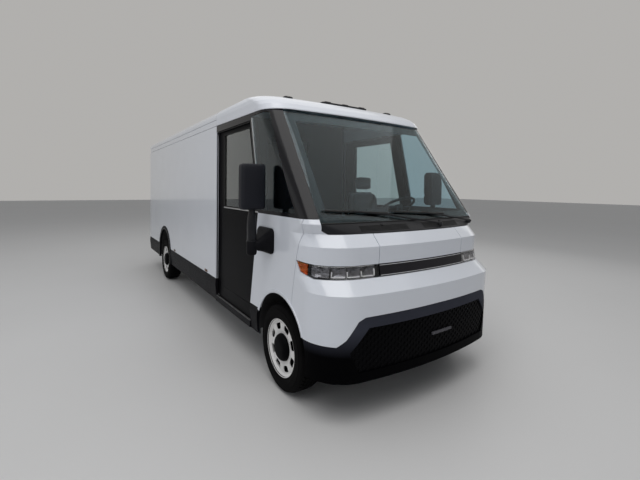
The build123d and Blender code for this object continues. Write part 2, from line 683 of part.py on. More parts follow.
with BuildPart() as roof_rails:
    for side in SIDES.values():
        box_between((BODY_REAR_X + REAR_POST + SEAT_GAP, at(RAIL_FRONT_REACH)),
                    (side * LINER_Y, side * (INNER_Y - SEAT_GAP)), (RAIL_FOOT_Z, ROOF_BEND_Z - RAIL_DROP))
        box_between((BODY_REAR_X + REAR_POST + SEAT_GAP, at(DOORWAY_REAR) - SEAM),
                    (side * (INNER_Y - SEAT_GAP), side * HALF_WIDTH),
                    (PANEL_TOP_Z + SEAM / 2, RAIL_TOP_Z - SEAM / 2))
        box_between((at(POCKET_REACH), at(RAIL_FRONT_REACH)),
                    (side * (LINER_Y - TRACK_DEPTH), side * LINER_Y),
                    (TRACK_Z, TRACK_Z + TRACK_HEIGHT))
write(roof_rails.part, "roof_rails")

# ---------------------------------------------------------------- body sides and their trim
rear_arch_z = TYRE_RADIUS + REAR_ARCH_RISE


def cut_rear_arches(radius):
    """Cut both rear wheel arches through the whole width."""
    with BuildSketch(Plane.XZ) as arch:
        with Locations((REAR_AXLE_X, rear_arch_z)):
            Circle(radius)
    extrude(arch.sketch, amount=BODY_WIDTH, both=True, mode=Mode.SUBTRACT)


with BuildPart() as side_panels:
    for side in SIDES.values():
        box_between((BODY_REAR_X, at(DOORWAY_REAR)), (side * INNER_Y, side * HALF_WIDTH),
                    (SKIRT_TOP_Z + SEAM / 2, PANEL_TOP_Z - SEAM / 2))
    cut_rear_arches(REAR_ARCH_RADIUS + ARCH_TRIM + SEAM / 2)
write(side_panels.part, "side_panels")

skirt_section = [(INNER_Y, SKIRT_TOP_Z - SEAM / 2), (HALF_WIDTH, SKIRT_TOP_Z - SEAM / 2),
                 (HALF_WIDTH + SKIRT_PROUD, SKIRT_RIDGE_Z), (HALF_WIDTH - SKIRT_TUCK, SKIRT_FOOT_Z),
                 (INNER_Y, SKIRT_FOOT_Z)]

with BuildPart() as skirts:
    with BuildSketch(Plane.YZ.offset(BODY_REAR_X)):
        for side in SIDES.values():
            with BuildLine():
                Polyline(*[(side * y, z) for y, z in skirt_section], close=True)
            make_face()
    extrude(amount=at(DOORWAY_REAR) - BODY_REAR_X)
    cut_rear_arches(REAR_ARCH_RADIUS + ARCH_TRIM + SEAM / 2)

with BuildPart() as door_sill_trim:
    with BuildSketch(Plane.YZ.offset(at(DOORWAY_FOOT_FRONT))):
        for side in SIDES.values():
            with BuildLine():
                Polyline(*[(side * y, min(z, FENDER_FOOT_Z - SEAM / 2)) for y, z in skirt_section],
                         close=True)
            make_face()
    extrude(amount=at(0) - at(DOORWAY_FOOT_FRONT))
    with BuildSketch(Plane.XZ):
        with Locations((FRONT_AXLE_X, TYRE_RADIUS + ARCH_RISE)):
            Circle(ARCH_RADIUS)
    extrude(amount=BODY_WIDTH, both=True, mode=Mode.SUBTRACT)

with BuildPart() as arch_trims:
    for side in SIDES.values():
        with BuildSketch(Plane.XZ.offset(-side * INNER_Y)):
            with Locations((REAR_AXLE_X, rear_arch_z)):
                Circle(REAR_ARCH_RADIUS + ARCH_TRIM)
                Circle(REAR_ARCH_RADIUS, mode=Mode.SUBTRACT)
            with Locations((REAR_AXLE_X, SKIRT_FOOT_Z)):
                Rectangle(FAR, FAR, align=(Align.CENTER, Align.MAX), mode=Mode.SUBTRACT)
        extrude(amount=-side * (WALL + ARCH_TRIM_PROUD))
write(arch_trims.part, "arch_trims")

with BuildPart() as steps:
    for side in SIDES.values():
        box_between((at(DOORWAY_REAR) + STEP_END_GAP, at(DOORWAY_FOOT_FRONT) - STEP_END_GAP),
                    (side * STEP_INNER_Y, side * (HALF_WIDTH - 5)), (STEP_Z - STEP_THICKNESS, STEP_Z))
        box_between((at(DOORWAY_REAR) + STEP_END_GAP, at(DOORWAY_FOOT_FRONT) - STEP_END_GAP),
                    (side * INNER_Y, side * HALF_WIDTH), (SKIRT_FOOT_Z, STEP_Z))
        box_between((at(DOORWAY_REAR) + STEP_END_GAP, at(DOORWAY_FOOT_FRONT) - STEP_END_GAP),
                    (side * STEP_INNER_Y, side * (STEP_INNER_Y + STEP_WALL)),
                    (STEP_Z, FLOOR_Z - FLOOR_THICKNESS - SEAT_GAP))
        for end in (at(DOORWAY_REAR) + STEP_END_GAP, at(DOORWAY_FOOT_FRONT) - STEP_END_GAP - STEP_WALL):
            box_between((end, end + STEP_WALL), (side * STEP_INNER_Y, side * (DOOR_INNER_Y - RUN_GAP)),
                        (STEP_Z, FLOOR_Z - FLOOR_THICKNESS - SEAT_GAP))

with BuildPart() as lower_trim:
    for trim in (skirts, door_sill_trim, steps):
        add(trim.part)
write(lower_trim.part, "lower_trim")

def wheel_housing(side, axle_x, arch_z, radius, inner_y):
    """Half-round housing above one wheel, with a side wall towards the middle of the van."""
    with BuildPart() as housing:
        with BuildSketch(Plane.XZ.offset(-side * (inner_y - HOUSING_WALL))):
            with Locations((axle_x, arch_z)):
                Circle(radius + HOUSING_WALL)
            with Locations((axle_x, HOUSING_FOOT_Z)):
                Rectangle(FAR, FAR, align=(Align.CENTER, Align.MAX), mode=Mode.SUBTRACT)
        extrude(amount=-side * (INNER_Y - SEAT_GAP - inner_y + HOUSING_WALL))
        with BuildSketch(Plane.XZ.offset(-side * inner_y)):
            with Locations((axle_x, arch_z)):
                Circle(radius)
        extrude(amount=-side * (HALF_WIDTH - inner_y), mode=Mode.SUBTRACT)
        with BuildSketch(Plane.XZ.offset(-side * (inner_y - 2 * HOUSING_WALL))):
            with Locations((axle_x, HOUSING_SIDE_FOOT_Z)):
                Rectangle(2 * (radius - HOUSING_WALL), FAR, align=(Align.CENTER, Align.MAX))
        extrude(amount=-side * 2 * HOUSING_WALL, mode=Mode.SUBTRACT)
    return housing.part


front_arch = (FRONT_AXLE_X, TYRE_RADIUS + ARCH_RISE, ARCH_RADIUS, FRONT_HOUSING_INNER_Y)
rear_arch = (REAR_AXLE_X, rear_arch_z, REAR_ARCH_RADIUS, REAR_HOUSING_INNER_Y)

with BuildPart() as front_housings:
    for side in SIDES.values():
        add(wheel_housing(side, *front_arch))
    add(cab_envelope(WALL + SEAT_GAP), mode=Mode.INTERSECT)

with BuildPart() as wheel_housings:
    add(front_housings.part)
    for side in SIDES.values():
        add(wheel_housing(side, *rear_arch))
write(wheel_housings.part, "wheel_housings")

# ---------------------------------------------------------------- rear end
with BuildPart() as rear_frame:
    add(section_block(WALL + SEAT_GAP, REAR_FRAME_FOOT_Z, (BODY_REAR_X, BODY_REAR_X + REAR_POST)))
    box_between((BODY_REAR_X - WALL, BODY_REAR_X + 2 * REAR_POST), (-REAR_OPENING_HALF, REAR_OPENING_HALF),
                (FLOOR_Z, REAR_OPENING_TOP_Z), Mode.SUBTRACT)
    for side in SIDES.values():
        box_between((BODY_REAR_X - WALL, BODY_REAR_X + TAIL_LAMP_DEPTH),
                    (side * (TAIL_LAMP_Y - TAIL_LAMP_WIDTH / 2), side * (TAIL_LAMP_Y + TAIL_LAMP_WIDTH / 2)),
                    (TAIL_LAMP_Z, TAIL_LAMP_Z + TAIL_LAMP_HEIGHT), Mode.SUBTRACT)
write(rear_frame.part, "rear_frame")

with BuildPart() as tail_lamps:
    for side in SIDES.values():
        box_between((BODY_REAR_X - TAIL_LAMP_PROUD, BODY_REAR_X + TAIL_LAMP_DEPTH - SEAT_GAP),
                    (side * (TAIL_LAMP_Y - TAIL_LAMP_WIDTH / 2 + SEAT_GAP),
                     side * (TAIL_LAMP_Y + TAIL_LAMP_WIDTH / 2 - SEAT_GAP)),
                    (TAIL_LAMP_Z + SEAT_GAP, TAIL_LAMP_Z + TAIL_LAMP_HEIGHT - SEAT_GAP))
write(tail_lamps.part, "tail_lamps")

with BuildPart() as rear_door:
    box_between((BODY_REAR_X + REAR_DOOR_INSET, BODY_REAR_X + REAR_DOOR_INSET + REAR_DOOR_THICKNESS),
                (-REAR_OPENING_HALF + SEAT_GAP, REAR_OPENING_HALF - SEAT_GAP),
                (FLOOR_Z + SEAT_GAP, REAR_OPENING_TOP_Z - SEAT_GAP))
    with BuildSketch(Plane.XZ.offset(-REAR_OPENING_HALF)):
        for row in range(1, REAR_DOOR_SLATS):
            with Locations((BODY_REAR_X + REAR_DOOR_INSET,
                            FLOOR_Z + row * (REAR_OPENING_TOP_Z - FLOOR_Z) / REAR_DOOR_SLATS)):
                Rectangle(SLAT_GROOVE, SLAT_GROOVE, rotation=45)
    extrude(amount=2 * REAR_OPENING_HALF, mode=Mode.SUBTRACT)
    box_between((BODY_REAR_X + REAR_DOOR_INSET - HANDLE_DEPTH, BODY_REAR_X + REAR_DOOR_INSET),
                (-HANDLE_WIDTH / 2, HANDLE_WIDTH / 2), (FLOOR_Z + 60, FLOOR_Z + 60 + HANDLE_HEIGHT))
write(rear_door.part, "rear_door")

with BuildPart() as rear_bumper:
    with BuildSketch(Plane.XY.offset(REAR_STEP_Z - REAR_STEP_HEIGHT)):
        with Locations((BODY_REAR_X, 0)):
            Rectangle(REAR_STEP_DEPTH, 2 * REAR_STEP_HALF, align=(Align.MAX, Align.CENTER))
    extrude(amount=REAR_STEP_HEIGHT)
    chamfer(rear_bumper.edges().filter_by(Axis.Z).group_by(Axis.X)[0], REAR_STEP_DEPTH / 3)
    for side in SIDES.values():
        box_between((BODY_REAR_X - REAR_STEP_DEPTH / 2, BODY_REAR_X + REAR_BRACKET),
                    (side * RAIL_Y, side * (RAIL_Y + RAIL_WIDTH)),
                    (REAR_STEP_Z - REAR_STEP_HEIGHT, REAR_STEP_Z))
        box_between((BODY_REAR_X + REAR_POST + SEAT_GAP, BODY_REAR_X + REAR_BRACKET),
                    (side * RAIL_Y, side * (RAIL_Y + RAIL_WIDTH)),
                    (REAR_STEP_Z - REAR_STEP_HEIGHT, FLOOR_Z - FLOOR_THICKNESS - RAIL_HEIGHT))
    with Locations((BODY_REAR_X - REAR_STEP_DEPTH, 0, REAR_STEP_Z - REAR_STEP_HEIGHT / 2)):
        Box(2 * PLATE_RECESS, PLATE_WIDTH, PLATE_HEIGHT, mode=Mode.SUBTRACT)
    recess_floor_x = BODY_REAR_X - REAR_STEP_DEPTH + PLATE_RECESS
    with Locations(Plane((recess_floor_x, 0, REAR_STEP_Z - REAR_STEP_HEIGHT / 2),
                         x_dir=(0, 1, 0), z_dir=(-1, 0, 0))):
        with GridLocations(PLATE_SPACING, 0, 2, 1):
            Hole(PLATE_HOLE_RADIUS, PLATE_HOLE_DEPTH)
write(rear_bumper.part, "rear_bumper")

# ---------------------------------------------------------------- floor, inner walls and chassis
floor_z = (FLOOR_Z - FLOOR_THICKNESS, FLOOR_Z)
inside_nose = cab_envelope(WALL + 2 * SEAT_GAP + LINER)

with BuildPart() as floor:
    box_between((at(FLOOR_FRONT_REAR), at(FLOOR_FRONT)), (-FAR, FAR), floor_z)
    add(inside_nose, mode=Mode.INTERSECT)
    box_between((at(DOORWAY_REAR), at(FLOOR_FRONT_REAR)), (-STEP_INNER_Y, STEP_INNER_Y), floor_z)
    box_between((at(POCKET_REACH), at(DOORWAY_REAR)), (-POCKET_Y, POCKET_Y), floor_z)
    box_between((BODY_REAR_X + REAR_POST + SEAT_GAP, at(POCKET_REACH)),
                (-INNER_Y + SEAT_GAP, INNER_Y - SEAT_GAP), floor_z)
    for side in SIDES.values():
        for axle_x, arch_z, radius, inner_y in (front_arch, rear_arch):
            with BuildSketch(Plane.XZ.offset(-side * (inner_y - HOUSING_WALL - SEAT_GAP))):
                with Locations((axle_x, arch_z)):
                    Circle(radius + HOUSING_WALL + SEAT_GAP)
            extrude(amount=-side * HALF_WIDTH, mode=Mode.SUBTRACT)
write(floor.part, "floor")

with BuildPart() as bulkhead:
    add(section_block(WALL + SEAT_GAP, FLOOR_Z, (at(BULKHEAD_REACH), at(BULKHEAD_REACH) + BULKHEAD)))
    box_between((at(BULKHEAD_REACH) - WING, at(BULKHEAD_REACH) + 2 * BULKHEAD), (-POCKET_Y, POCKET_Y),
                (FLOOR_Z, ROOF_TOP_Z), Mode.INTERSECT)
    box_between((at(BULKHEAD_REACH) - WING, at(BULKHEAD_REACH) + 2 * BULKHEAD),
                (-AISLE_HALF, AISLE_HALF), (FLOOR_Z, AISLE_TOP_Z), Mode.SUBTRACT)
    for side in SIDES.values():
        box_between((at(POCKET_REACH), at(BULKHEAD_REACH)), (side * (POCKET_Y - WING), side * POCKET_Y),
                    (FLOOR_Z, DOOR_TOP_Z))
        box_between((at(POCKET_REACH), at(POCKET_REACH) + WING),
                    (side * (POCKET_Y - WING), side * (LINER_Y - SEAT_GAP)), (FLOOR_Z, DOOR_TOP_Z))
write(bulkhead.part, "bulkhead")

rail_z = (FLOOR_Z - FLOOR_THICKNESS - RAIL_HEIGHT, FLOOR_Z - FLOOR_THICKNESS - SEAT_GAP)

with BuildPart() as front_rails:
    for side in SIDES.values():
        box_between((at(DOORWAY_REAR), at(AHEAD)), (side * RAIL_Y, side * (RAIL_Y + RAIL_WIDTH)), rail_z)
    add(inside_nose, mode=Mode.INTERSECT)

with BuildPart() as frame_rails:
    add(front_rails.part)
    for side in SIDES.values():
        box_between((BODY_REAR_X + REAR_POST + SEAT_GAP, at(DOORWAY_REAR)),
                    (side * RAIL_Y, side * (RAIL_Y + RAIL_WIDTH)), rail_z)
    for reach in CROSS_MEMBERS:
        member = (at(reach) - CROSS_MEMBER / 2, at(reach) + CROSS_MEMBER / 2)
        box_between(member, (SEAT_GAP - RAIL_Y, RAIL_Y - SEAT_GAP), rail_z)
        for side in SIDES.values():
            if reach in OUTRIGGERS:
                box_between(member, (side * (RAIL_Y + RAIL_WIDTH + SEAT_GAP), side * (INNER_Y - SEAT_GAP)),
                            rail_z)
write(frame_rails.part, "frame_rails")

with BuildPart() as battery_pack:
    box_between((at(BATTERY_REACH), at(BATTERY_REACH + BATTERY_LENGTH)), (-BATTERY_HALF, BATTERY_HALF),
                (rail_z[0] - SEAT_GAP - BATTERY_HEIGHT, rail_z[0] - SEAT_GAP))
    chamfer(battery_pack.edges().group_by(Axis.Z)[0], BATTERY_CHAMFER)
write(battery_pack.part, "battery_pack")

# ---------------------------------------------------------------- suspension
with BuildPart() as front_suspension:
    box_between((at(-SUBFRAME_HALF), at(SUBFRAME_HALF)), (-SUBFRAME_Y, SUBFRAME_Y),
                (ARM_LOW_Z - SUBFRAME_HEIGHT / 2, ARM_LOW_Z + SUBFRAME_HEIGHT / 2))
    for side in SIDES.values():
        for end in (-1, 1):
            box_between((at(end * SUBFRAME_HALF), at(end * (SUBFRAME_HALF - SUBFRAME_POST))),
                        (side * (SUBFRAME_Y - SUBFRAME_POST), side * SUBFRAME_Y),
                        (ARM_LOW_Z, rail_z[0] - SEAT_GAP))
        for arm_z in (ARM_LOW_Z, ARM_HIGH_Z):
            with BuildSketch(Plane.XY.offset(arm_z - ARM_THICKNESS / 2)):
                with BuildLine():
                    Polyline((at(-SUBFRAME_HALF), side * (SUBFRAME_Y - SUBFRAME_POST)),
                             (at(SUBFRAME_HALF), side * (SUBFRAME_Y - SUBFRAME_POST)),
                             (at(ARM_TIP), side * KINGPIN_Y), (at(-ARM_TIP), side * KINGPIN_Y), close=True)
                make_face()
                with Locations((FRONT_AXLE_X, side * KINGPIN_Y)):
                    Circle(ARM_TIP)
                with Locations((FRONT_AXLE_X, side * (SUBFRAME_Y + ARM_WINDOW / 2 + 20))):
                    Rectangle(ARM_WINDOW, ARM_WINDOW, mode=Mode.SUBTRACT)
            extrude(amount=ARM_THICKNESS)
    with BuildSketch(Plane.XZ.offset(-(KINGPIN_Y - SHAFT_SETBACK))):
        with Locations((FRONT_AXLE_X, TYRE_RADIUS)):
            Circle(SHAFT_RADIUS)
    extrude(amount=2 * (KINGPIN_Y - SHAFT_SETBACK))
    box_between((at(-MOTOR_HALF), at(MOTOR_HALF)), (-MOTOR_Y, MOTOR_Y), (ARM_LOW_Z, MOTOR_TOP_Z))
write(front_suspension.part, "front_suspension")

with BuildPart() as rear_suspension:
    with BuildSketch(Plane.XZ.offset(-REAR_BEAM_HALF)):
        with Locations((REAR_AXLE_X, TYRE_RADIUS)):
            Circle(REAR_BEAM_RADIUS)
    extrude(amount=2 * REAR_BEAM_HALF)
    with BuildSketch(Plane.XZ.offset(-(HALF_TRACK + SPINDLE_REACH))):
        with Locations((REAR_AXLE_X, TYRE_RADIUS)):
            Circle(SPINDLE_RADIUS)
    extrude(amount=2 * (HALF_TRACK + SPINDLE_REACH))
    box_between((REAR_AXLE_X - MOTOR_HALF, REAR_AXLE_X + MOTOR_HALF), (-MOTOR_Y, MOTOR_Y),
                (ARM_LOW_Z, MOTOR_TOP_Z - 40))
    fillet(rear_suspension.edges().filter_by(Axis.Y), 50)
    for side in SIDES.values():
        with BuildSketch(Plane.XZ.offset(-side * (RAIL_Y + RAIL_WIDTH / 2) - SPRING_WIDTH / 2)):
            with BuildLine():
                low = ThreePointArc((REAR_AXLE_X - SPRING_HALF, rail_z[0] - SPRING_EYE),
                                    (REAR_AXLE_X, TYRE_RADIUS + REAR_BEAM_RADIUS),
                                    (REAR_AXLE_X + SPRING_HALF, rail_z[0] - SPRING_EYE))
                front_end = Line(low @ 1, low @ 1 + (0, SPRING_THICKNESS))
                high = ThreePointArc(front_end @ 1,
                                     (REAR_AXLE_X, TYRE_RADIUS + REAR_BEAM_RADIUS + 1.6 * SPRING_THICKNESS),
                                     low @ 0 + (0, SPRING_THICKNESS))
                Line(high @ 1, low @ 0)
            make_face()
        extrude(amount=SPRING_WIDTH)
        spring_y = side * (RAIL_Y + RAIL_WIDTH / 2)
        box_between((REAR_AXLE_X - SPRING_PAD, REAR_AXLE_X + SPRING_PAD),
                    (spring_y - SPRING_WIDTH / 2, spring_y + SPRING_WIDTH / 2),
                    (TYRE_RADIUS, TYRE_RADIUS + REAR_BEAM_RADIUS + 2 * SPRING_THICKNESS))
        for end in (-1, 1):
            box_between((REAR_AXLE_X + end * SPRING_HALF,
                         REAR_AXLE_X + end * (SPRING_HALF - SPRING_THICKNESS)),
                        (spring_y - SPRING_WIDTH / 2, spring_y + SPRING_WIDTH / 2),
                        (rail_z[0] - SPRING_EYE, rail_z[0] - SEAT_GAP))
write(rear_suspension.part, "rear_suspension")

# ---------------------------------------------------------------- cab inside
steering_plane = Plane((at(STEERING_REACH), STEERING_Y, STEERING_Z), x_dir=(0, -1, 0),
                       z_dir=(-sin(radians(STEERING_TILT)), 0, cos(radians(STEERING_TILT))))

with BuildPart() as dashboard:
    with BuildSketch(Plane.XZ):
        with BuildLine():
            Polyline(*[(at(reach), z) for reach, z in DASH_PROFILE], close=True)
        make_face()
    extrude(amount=DASH_HALF, both=True)
    add(inside_nose, mode=Mode.INTERSECT)
    with BuildSketch(steering_plane.offset(-HUB_DEPTH - SEAT_GAP)):
        Circle(COLUMN_RADIUS)
    extrude(amount=-COLUMN_LENGTH)
write(dashboard.part, "dashboard")

with BuildPart() as steering_wheel:
    with BuildSketch(Plane(steering_plane.origin + STEERING_RADIUS * steering_plane.x_dir,
                           x_dir=steering_plane.x_dir, z_dir=steering_plane.y_dir)):
        Circle(RIM_GRIP)
    revolve(axis=Axis(steering_plane.origin, steering_plane.z_dir))
    with BuildSketch(steering_plane.offset(-HUB_DEPTH)):
        Circle(HUB_RADIUS)
    extrude(amount=HUB_DEPTH)
    with BuildSketch(steering_plane.offset(-HUB_DEPTH / 2)):
        for angle in SPOKE_ANGLES:
            with Locations(Location((0, 0), angle)):
                Rectangle(STEERING_RADIUS, SPOKE_WIDTH, align=(Align.MIN, Align.CENTER))
    extrude(amount=HUB_DEPTH / 3)
write(steering_wheel.part, "steering_wheel")

with BuildPart() as seats:
    box_between((at(SEAT_REACH + PEDESTAL_REACH[0]), at(SEAT_REACH + PEDESTAL_REACH[1])),
                (STEERING_Y - PEDESTAL_HALF, STEERING_Y + PEDESTAL_HALF),
                (FLOOR_Z + SEAT_GAP, CUSHION_Z - CUSHION))
    box_between((at(SEAT_REACH), at(SEAT_REACH + CUSHION_LENGTH)),
                (STEERING_Y - CUSHION_HALF, STEERING_Y + CUSHION_HALF),
                (CUSHION_Z - CUSHION, CUSHION_Z))
    with BuildSketch(Plane.XZ.offset(-STEERING_Y - BACKREST_HALF)):
        with BuildLine():
            Polyline(*[(at(SEAT_REACH + reach), CUSHION_Z + rise) for reach, rise in BACKREST], close=True)
        make_face()
    extrude(amount=2 * BACKREST_HALF)
    box_between((at(BULKHEAD_REACH) + BULKHEAD + SEAT_GAP, at(BULKHEAD_REACH) + BULKHEAD + JUMP_SEAT),
                (JUMP_SEAT_Y - JUMP_SEAT_HALF, JUMP_SEAT_Y + JUMP_SEAT_HALF),
                (FLOOR_Z + JUMP_SEAT_RISE[0], FLOOR_Z + JUMP_SEAT_RISE[1]))
write(seats.part, "seats")

# ---------------------------------------------------------------- sliding doors
for name, side in SIDES.items():
    door_y = (side * DOOR_INNER_Y, side * DOOR_OUTER_Y)
    with BuildPart() as door:
        add(side_block(door_outline, 0))
        box_between((-LENGTH, LENGTH), door_y, (0, ROOF_TOP_Z), Mode.INTERSECT)
        add(side_block(door_window, 0), mode=Mode.SUBTRACT)
        for reach in HANGER_REACHES:
            box_between((at(reach) - HANGER_LENGTH / 2, at(reach) + HANGER_LENGTH / 2),
                        (side * (DOOR_INNER_Y + RUN_GAP), side * (LINER_Y - RUN_GAP / 2)),
                        (DOOR_TOP_Z - DOOR_LAP, TRACK_Z - SEAT_GAP))
    write(door.part, f"door_{name}")

    with BuildPart() as door_glass:
        add(side_block(door_window, SEAT_GAP))
        box_between((-LENGTH, LENGTH), (side * (DOOR_OUTER_Y - DOOR_GLASS_INSET - GLASS),
                                        side * (DOOR_OUTER_Y - DOOR_GLASS_INSET)),
                    (0, ROOF_TOP_Z), Mode.INTERSECT)
    write(door_glass.part, f"door_glass_{name}")

# ---------------------------------------------------------------- mirrors
with BuildPart() as mirror_brackets:
    for side in SIDES.values():
        foot_y = side * (HALF_WIDTH + SEAT_GAP)
        with BuildSketch(Plane.XZ.offset(-foot_y)):
            with BuildLine():
                Polyline(*[(at(MIRROR_REACH + reach), z) for reach, z in BRACKET_OUTLINE], close=True)
            make_face()
        extrude(amount=-side * BRACKET_DEPTH)
        with BuildSketch(Plane.XY.offset(MIRROR_BOSS_Z)):
            with Locations((at(MIRROR_REACH), side * MIRROR_Y)):
                Circle(MIRROR_BOSS)
            with Locations((at(MIRROR_REACH), side * (HALF_WIDTH + MIRROR_Y) / 2)):
                Rectangle(2 * MIRROR_BOSS, MIRROR_Y - HALF_WIDTH - 2 * SEAT_GAP)
        extrude(amount=MIRROR_SPLIT_Z - MIRROR_BOSS_Z)
write(mirror_brackets.part, "mirror_brackets")

for name, side in SIDES.items():
    with BuildPart() as mirror:
        with BuildSketch(Plane.XY.offset(MIRROR_SPLIT_Z + SEAT_GAP)):
            with Locations((at(MIRROR_REACH), side * MIRROR_Y)):
                RectangleRounded(MIRROR_ARM, MIRROR_ARM, MIRROR_ARM / 3)
        extrude(amount=MIRROR_FOOT_Z - MIRROR_SPLIT_Z)
        with BuildSketch(Plane.XY.offset(MIRROR_FOOT_Z)):
            with Locations((at(MIRROR_REACH), side * MIRROR_Y)):
                RectangleRounded(MIRROR_DEPTH, MIRROR_WIDTH, MIRROR_DEPTH / 3)
        extrude(amount=MIRROR_TOP_Z - MIRROR_FOOT_Z)
    write(mirror.part, f"mirror_{name}")

# ---------------------------------------------------------------- wheels
# Sections are (distance outwards from the wheel's middle, radius) points.
bead = RIM_RADIUS - BEAD_STEP
shoulder_half = TYRE_WIDTH / 2 - SHOULDER_INSET
shoulder_radius = TYRE_RADIUS - SHOULDER_DROP
tyre_section = [(-BEAD_HALF, bead), (-TYRE_WIDTH / 2, bead + TYRE_BULGE), (-shoulder_half, shoulder_radius),
                (-TREAD_HALF, TYRE_RADIUS), (TREAD_HALF, TYRE_RADIUS), (shoulder_half, shoulder_radius),
                (TYRE_WIDTH / 2, bead + TYRE_BULGE), (BEAD_HALF, bead)]
bore = SPINDLE_RADIUS + SHAFT_CLEARANCE
barrel_in = RIM_BARREL - RIM_WALL
bulge_face = DISC_FACE + DISC_BULGE
disc_section = [(-HUB_INNER, bore), (DISC_FACE, bore), (DISC_FACE, 92), (bulge_face, 130),
                (bulge_face - 2, 170), (DISC_EDGE, barrel_in + 1), (DISC_EDGE - DISC_LIP, barrel_in + 1),
                (bulge_face - DISC_WALL - 4, 165), (bulge_face - DISC_WALL, 134),
                (DISC_FACE - DISC_WALL, 98), (DISC_FACE - DISC_WALL, WHEEL_HUB_RADIUS),
                (-HUB_INNER, WHEEL_HUB_RADIUS)]
barrel_section = [(-FLANGE_HALF, barrel_in), (FLANGE_HALF, barrel_in), (FLANGE_HALF, RIM_RADIUS),
                  (BEAD_HALF + 4, RIM_RADIUS), (BEAD_HALF, bead - SEAT_GAP), (-BEAD_HALF, bead - SEAT_GAP),
                  (-BEAD_HALF - 4, RIM_RADIUS), (-FLANGE_HALF, RIM_RADIUS)]


def wheel_plane(axle_x, side):
    """Plane through a wheel's axis, with x outwards along the axis and y away from it."""
    return Plane((axle_x, side * HALF_TRACK, TYRE_RADIUS), x_dir=(0, side, 0), z_dir=(-side, 0, 0))


def revolve_section(points, plane):
    """Revolve a closed wheel section about the wheel's axis."""
    with BuildSketch(plane) as section:
        with BuildLine():
            Polyline(*points, close=True)
        make_face()
    revolve(section.sketch, axis=Axis(plane.origin, plane.x_dir))


for end, axle_x in (("front", FRONT_AXLE_X), ("rear", REAR_AXLE_X)):
    for name, side in SIDES.items():
        plane = wheel_plane(axle_x, side)
        with BuildPart() as tyre:
            revolve_section(tyre_section, plane)
        write(tyre.part, f"tyre_{end}_{name}")

        with BuildPart() as rim:
            revolve_section(disc_section, plane)
            hole_plane = Plane(plane.origin, x_dir=(1, 0, 0), z_dir=(0, side, 0)).offset(DISC_EDGE - DISC_LIP)
            with BuildSketch(hole_plane):
                with PolarLocations(HAND_HOLE_RADIUS, HAND_HOLES):
                    RectangleRounded(HAND_HOLE_DEPTH, HAND_HOLE_WIDTH, HAND_HOLE_DEPTH / 2.5)
            extrude(amount=bulge_face + DISC_BULGE - DISC_EDGE + DISC_LIP, mode=Mode.SUBTRACT)
            revolve_section(barrel_section, plane)
            with BuildSketch(Plane(plane.origin, x_dir=(1, 0, 0), z_dir=(0, side, 0)).offset(DISC_FACE)):
                Circle(CAP_RADIUS)
            extrude(amount=CAP_HEIGHT)
        write(rim.part, f"rim_{end}_{name}")

for name, side in SIDES.items():
    with BuildPart() as knuckle:
        with BuildSketch(Plane.XY.offset(ARM_LOW_Z + ARM_THICKNESS / 2 + SEAT_GAP)):
            with Locations((FRONT_AXLE_X, side * KINGPIN_Y)):
                Circle(KNUCKLE_RADIUS)
        extrude(amount=ARM_HIGH_Z - ARM_LOW_Z - ARM_THICKNESS - 2 * SEAT_GAP)
        with BuildSketch(Plane.XZ.offset(-side * (KINGPIN_Y - KNUCKLE_RADIUS))):
            with Locations((FRONT_AXLE_X, TYRE_RADIUS)):
                Circle(KNUCKLE_BOSS)
        extrude(amount=-side * 2 * KNUCKLE_RADIUS)
        with BuildSketch(Plane.XZ.offset(-side * KINGPIN_Y)):
            with Locations((FRONT_AXLE_X, TYRE_RADIUS)):
                Circle(SPINDLE_RADIUS)
        extrude(amount=-side * (HALF_TRACK + SPINDLE_REACH - KINGPIN_Y))
    write(knuckle.part, f"knuckle_{name}")
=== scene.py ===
"""Looks of a walk-in electric cargo van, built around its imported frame. All lengths are in metres."""
import math

import bmesh
import bpy
from mathutils import Matrix, Vector
from mathutils.bvhtree import BVHTree


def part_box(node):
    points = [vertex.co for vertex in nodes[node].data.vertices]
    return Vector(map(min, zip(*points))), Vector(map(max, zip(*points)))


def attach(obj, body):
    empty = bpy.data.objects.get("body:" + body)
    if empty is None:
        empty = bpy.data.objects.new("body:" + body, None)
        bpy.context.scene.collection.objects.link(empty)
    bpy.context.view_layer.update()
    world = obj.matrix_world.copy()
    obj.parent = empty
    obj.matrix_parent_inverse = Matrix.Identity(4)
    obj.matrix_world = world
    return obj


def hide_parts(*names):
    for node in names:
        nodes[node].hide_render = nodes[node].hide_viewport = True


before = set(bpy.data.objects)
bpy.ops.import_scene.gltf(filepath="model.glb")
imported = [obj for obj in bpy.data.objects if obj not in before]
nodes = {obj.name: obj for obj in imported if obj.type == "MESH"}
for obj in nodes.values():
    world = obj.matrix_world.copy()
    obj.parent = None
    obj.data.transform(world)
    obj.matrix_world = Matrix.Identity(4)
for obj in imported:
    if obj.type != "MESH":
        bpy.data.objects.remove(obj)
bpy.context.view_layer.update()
scene = bpy.context.scene
SIDES = {"left": 1, "right": -1}

# ---------------------------------------------------------------- places taken from the frame
wheel_low, wheel_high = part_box("tyre_front_left")
rear_low, rear_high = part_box("tyre_rear_left")
FRONT_AXLE = (wheel_low.x + wheel_high.x) / 2
REAR_AXLE = (rear_low.x + rear_high.x) / 2
TYRE_RADIUS = (wheel_high.z - wheel_low.z) / 2
WHEEL_Y = (wheel_low.y + wheel_high.y) / 2
HALF_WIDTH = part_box("side_panels")[1].y
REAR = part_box("side_panels")[0].x
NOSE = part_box("front_panels")[1].x
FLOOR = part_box("floor")[1].z
OVER_ROOF = 3.5
DOWN, BACK = Vector((0, 0, -1)), Vector((-1, 0, 0))


def at(reach):
    """X of a reach ahead of the front axle."""
    return FRONT_AXLE + reach


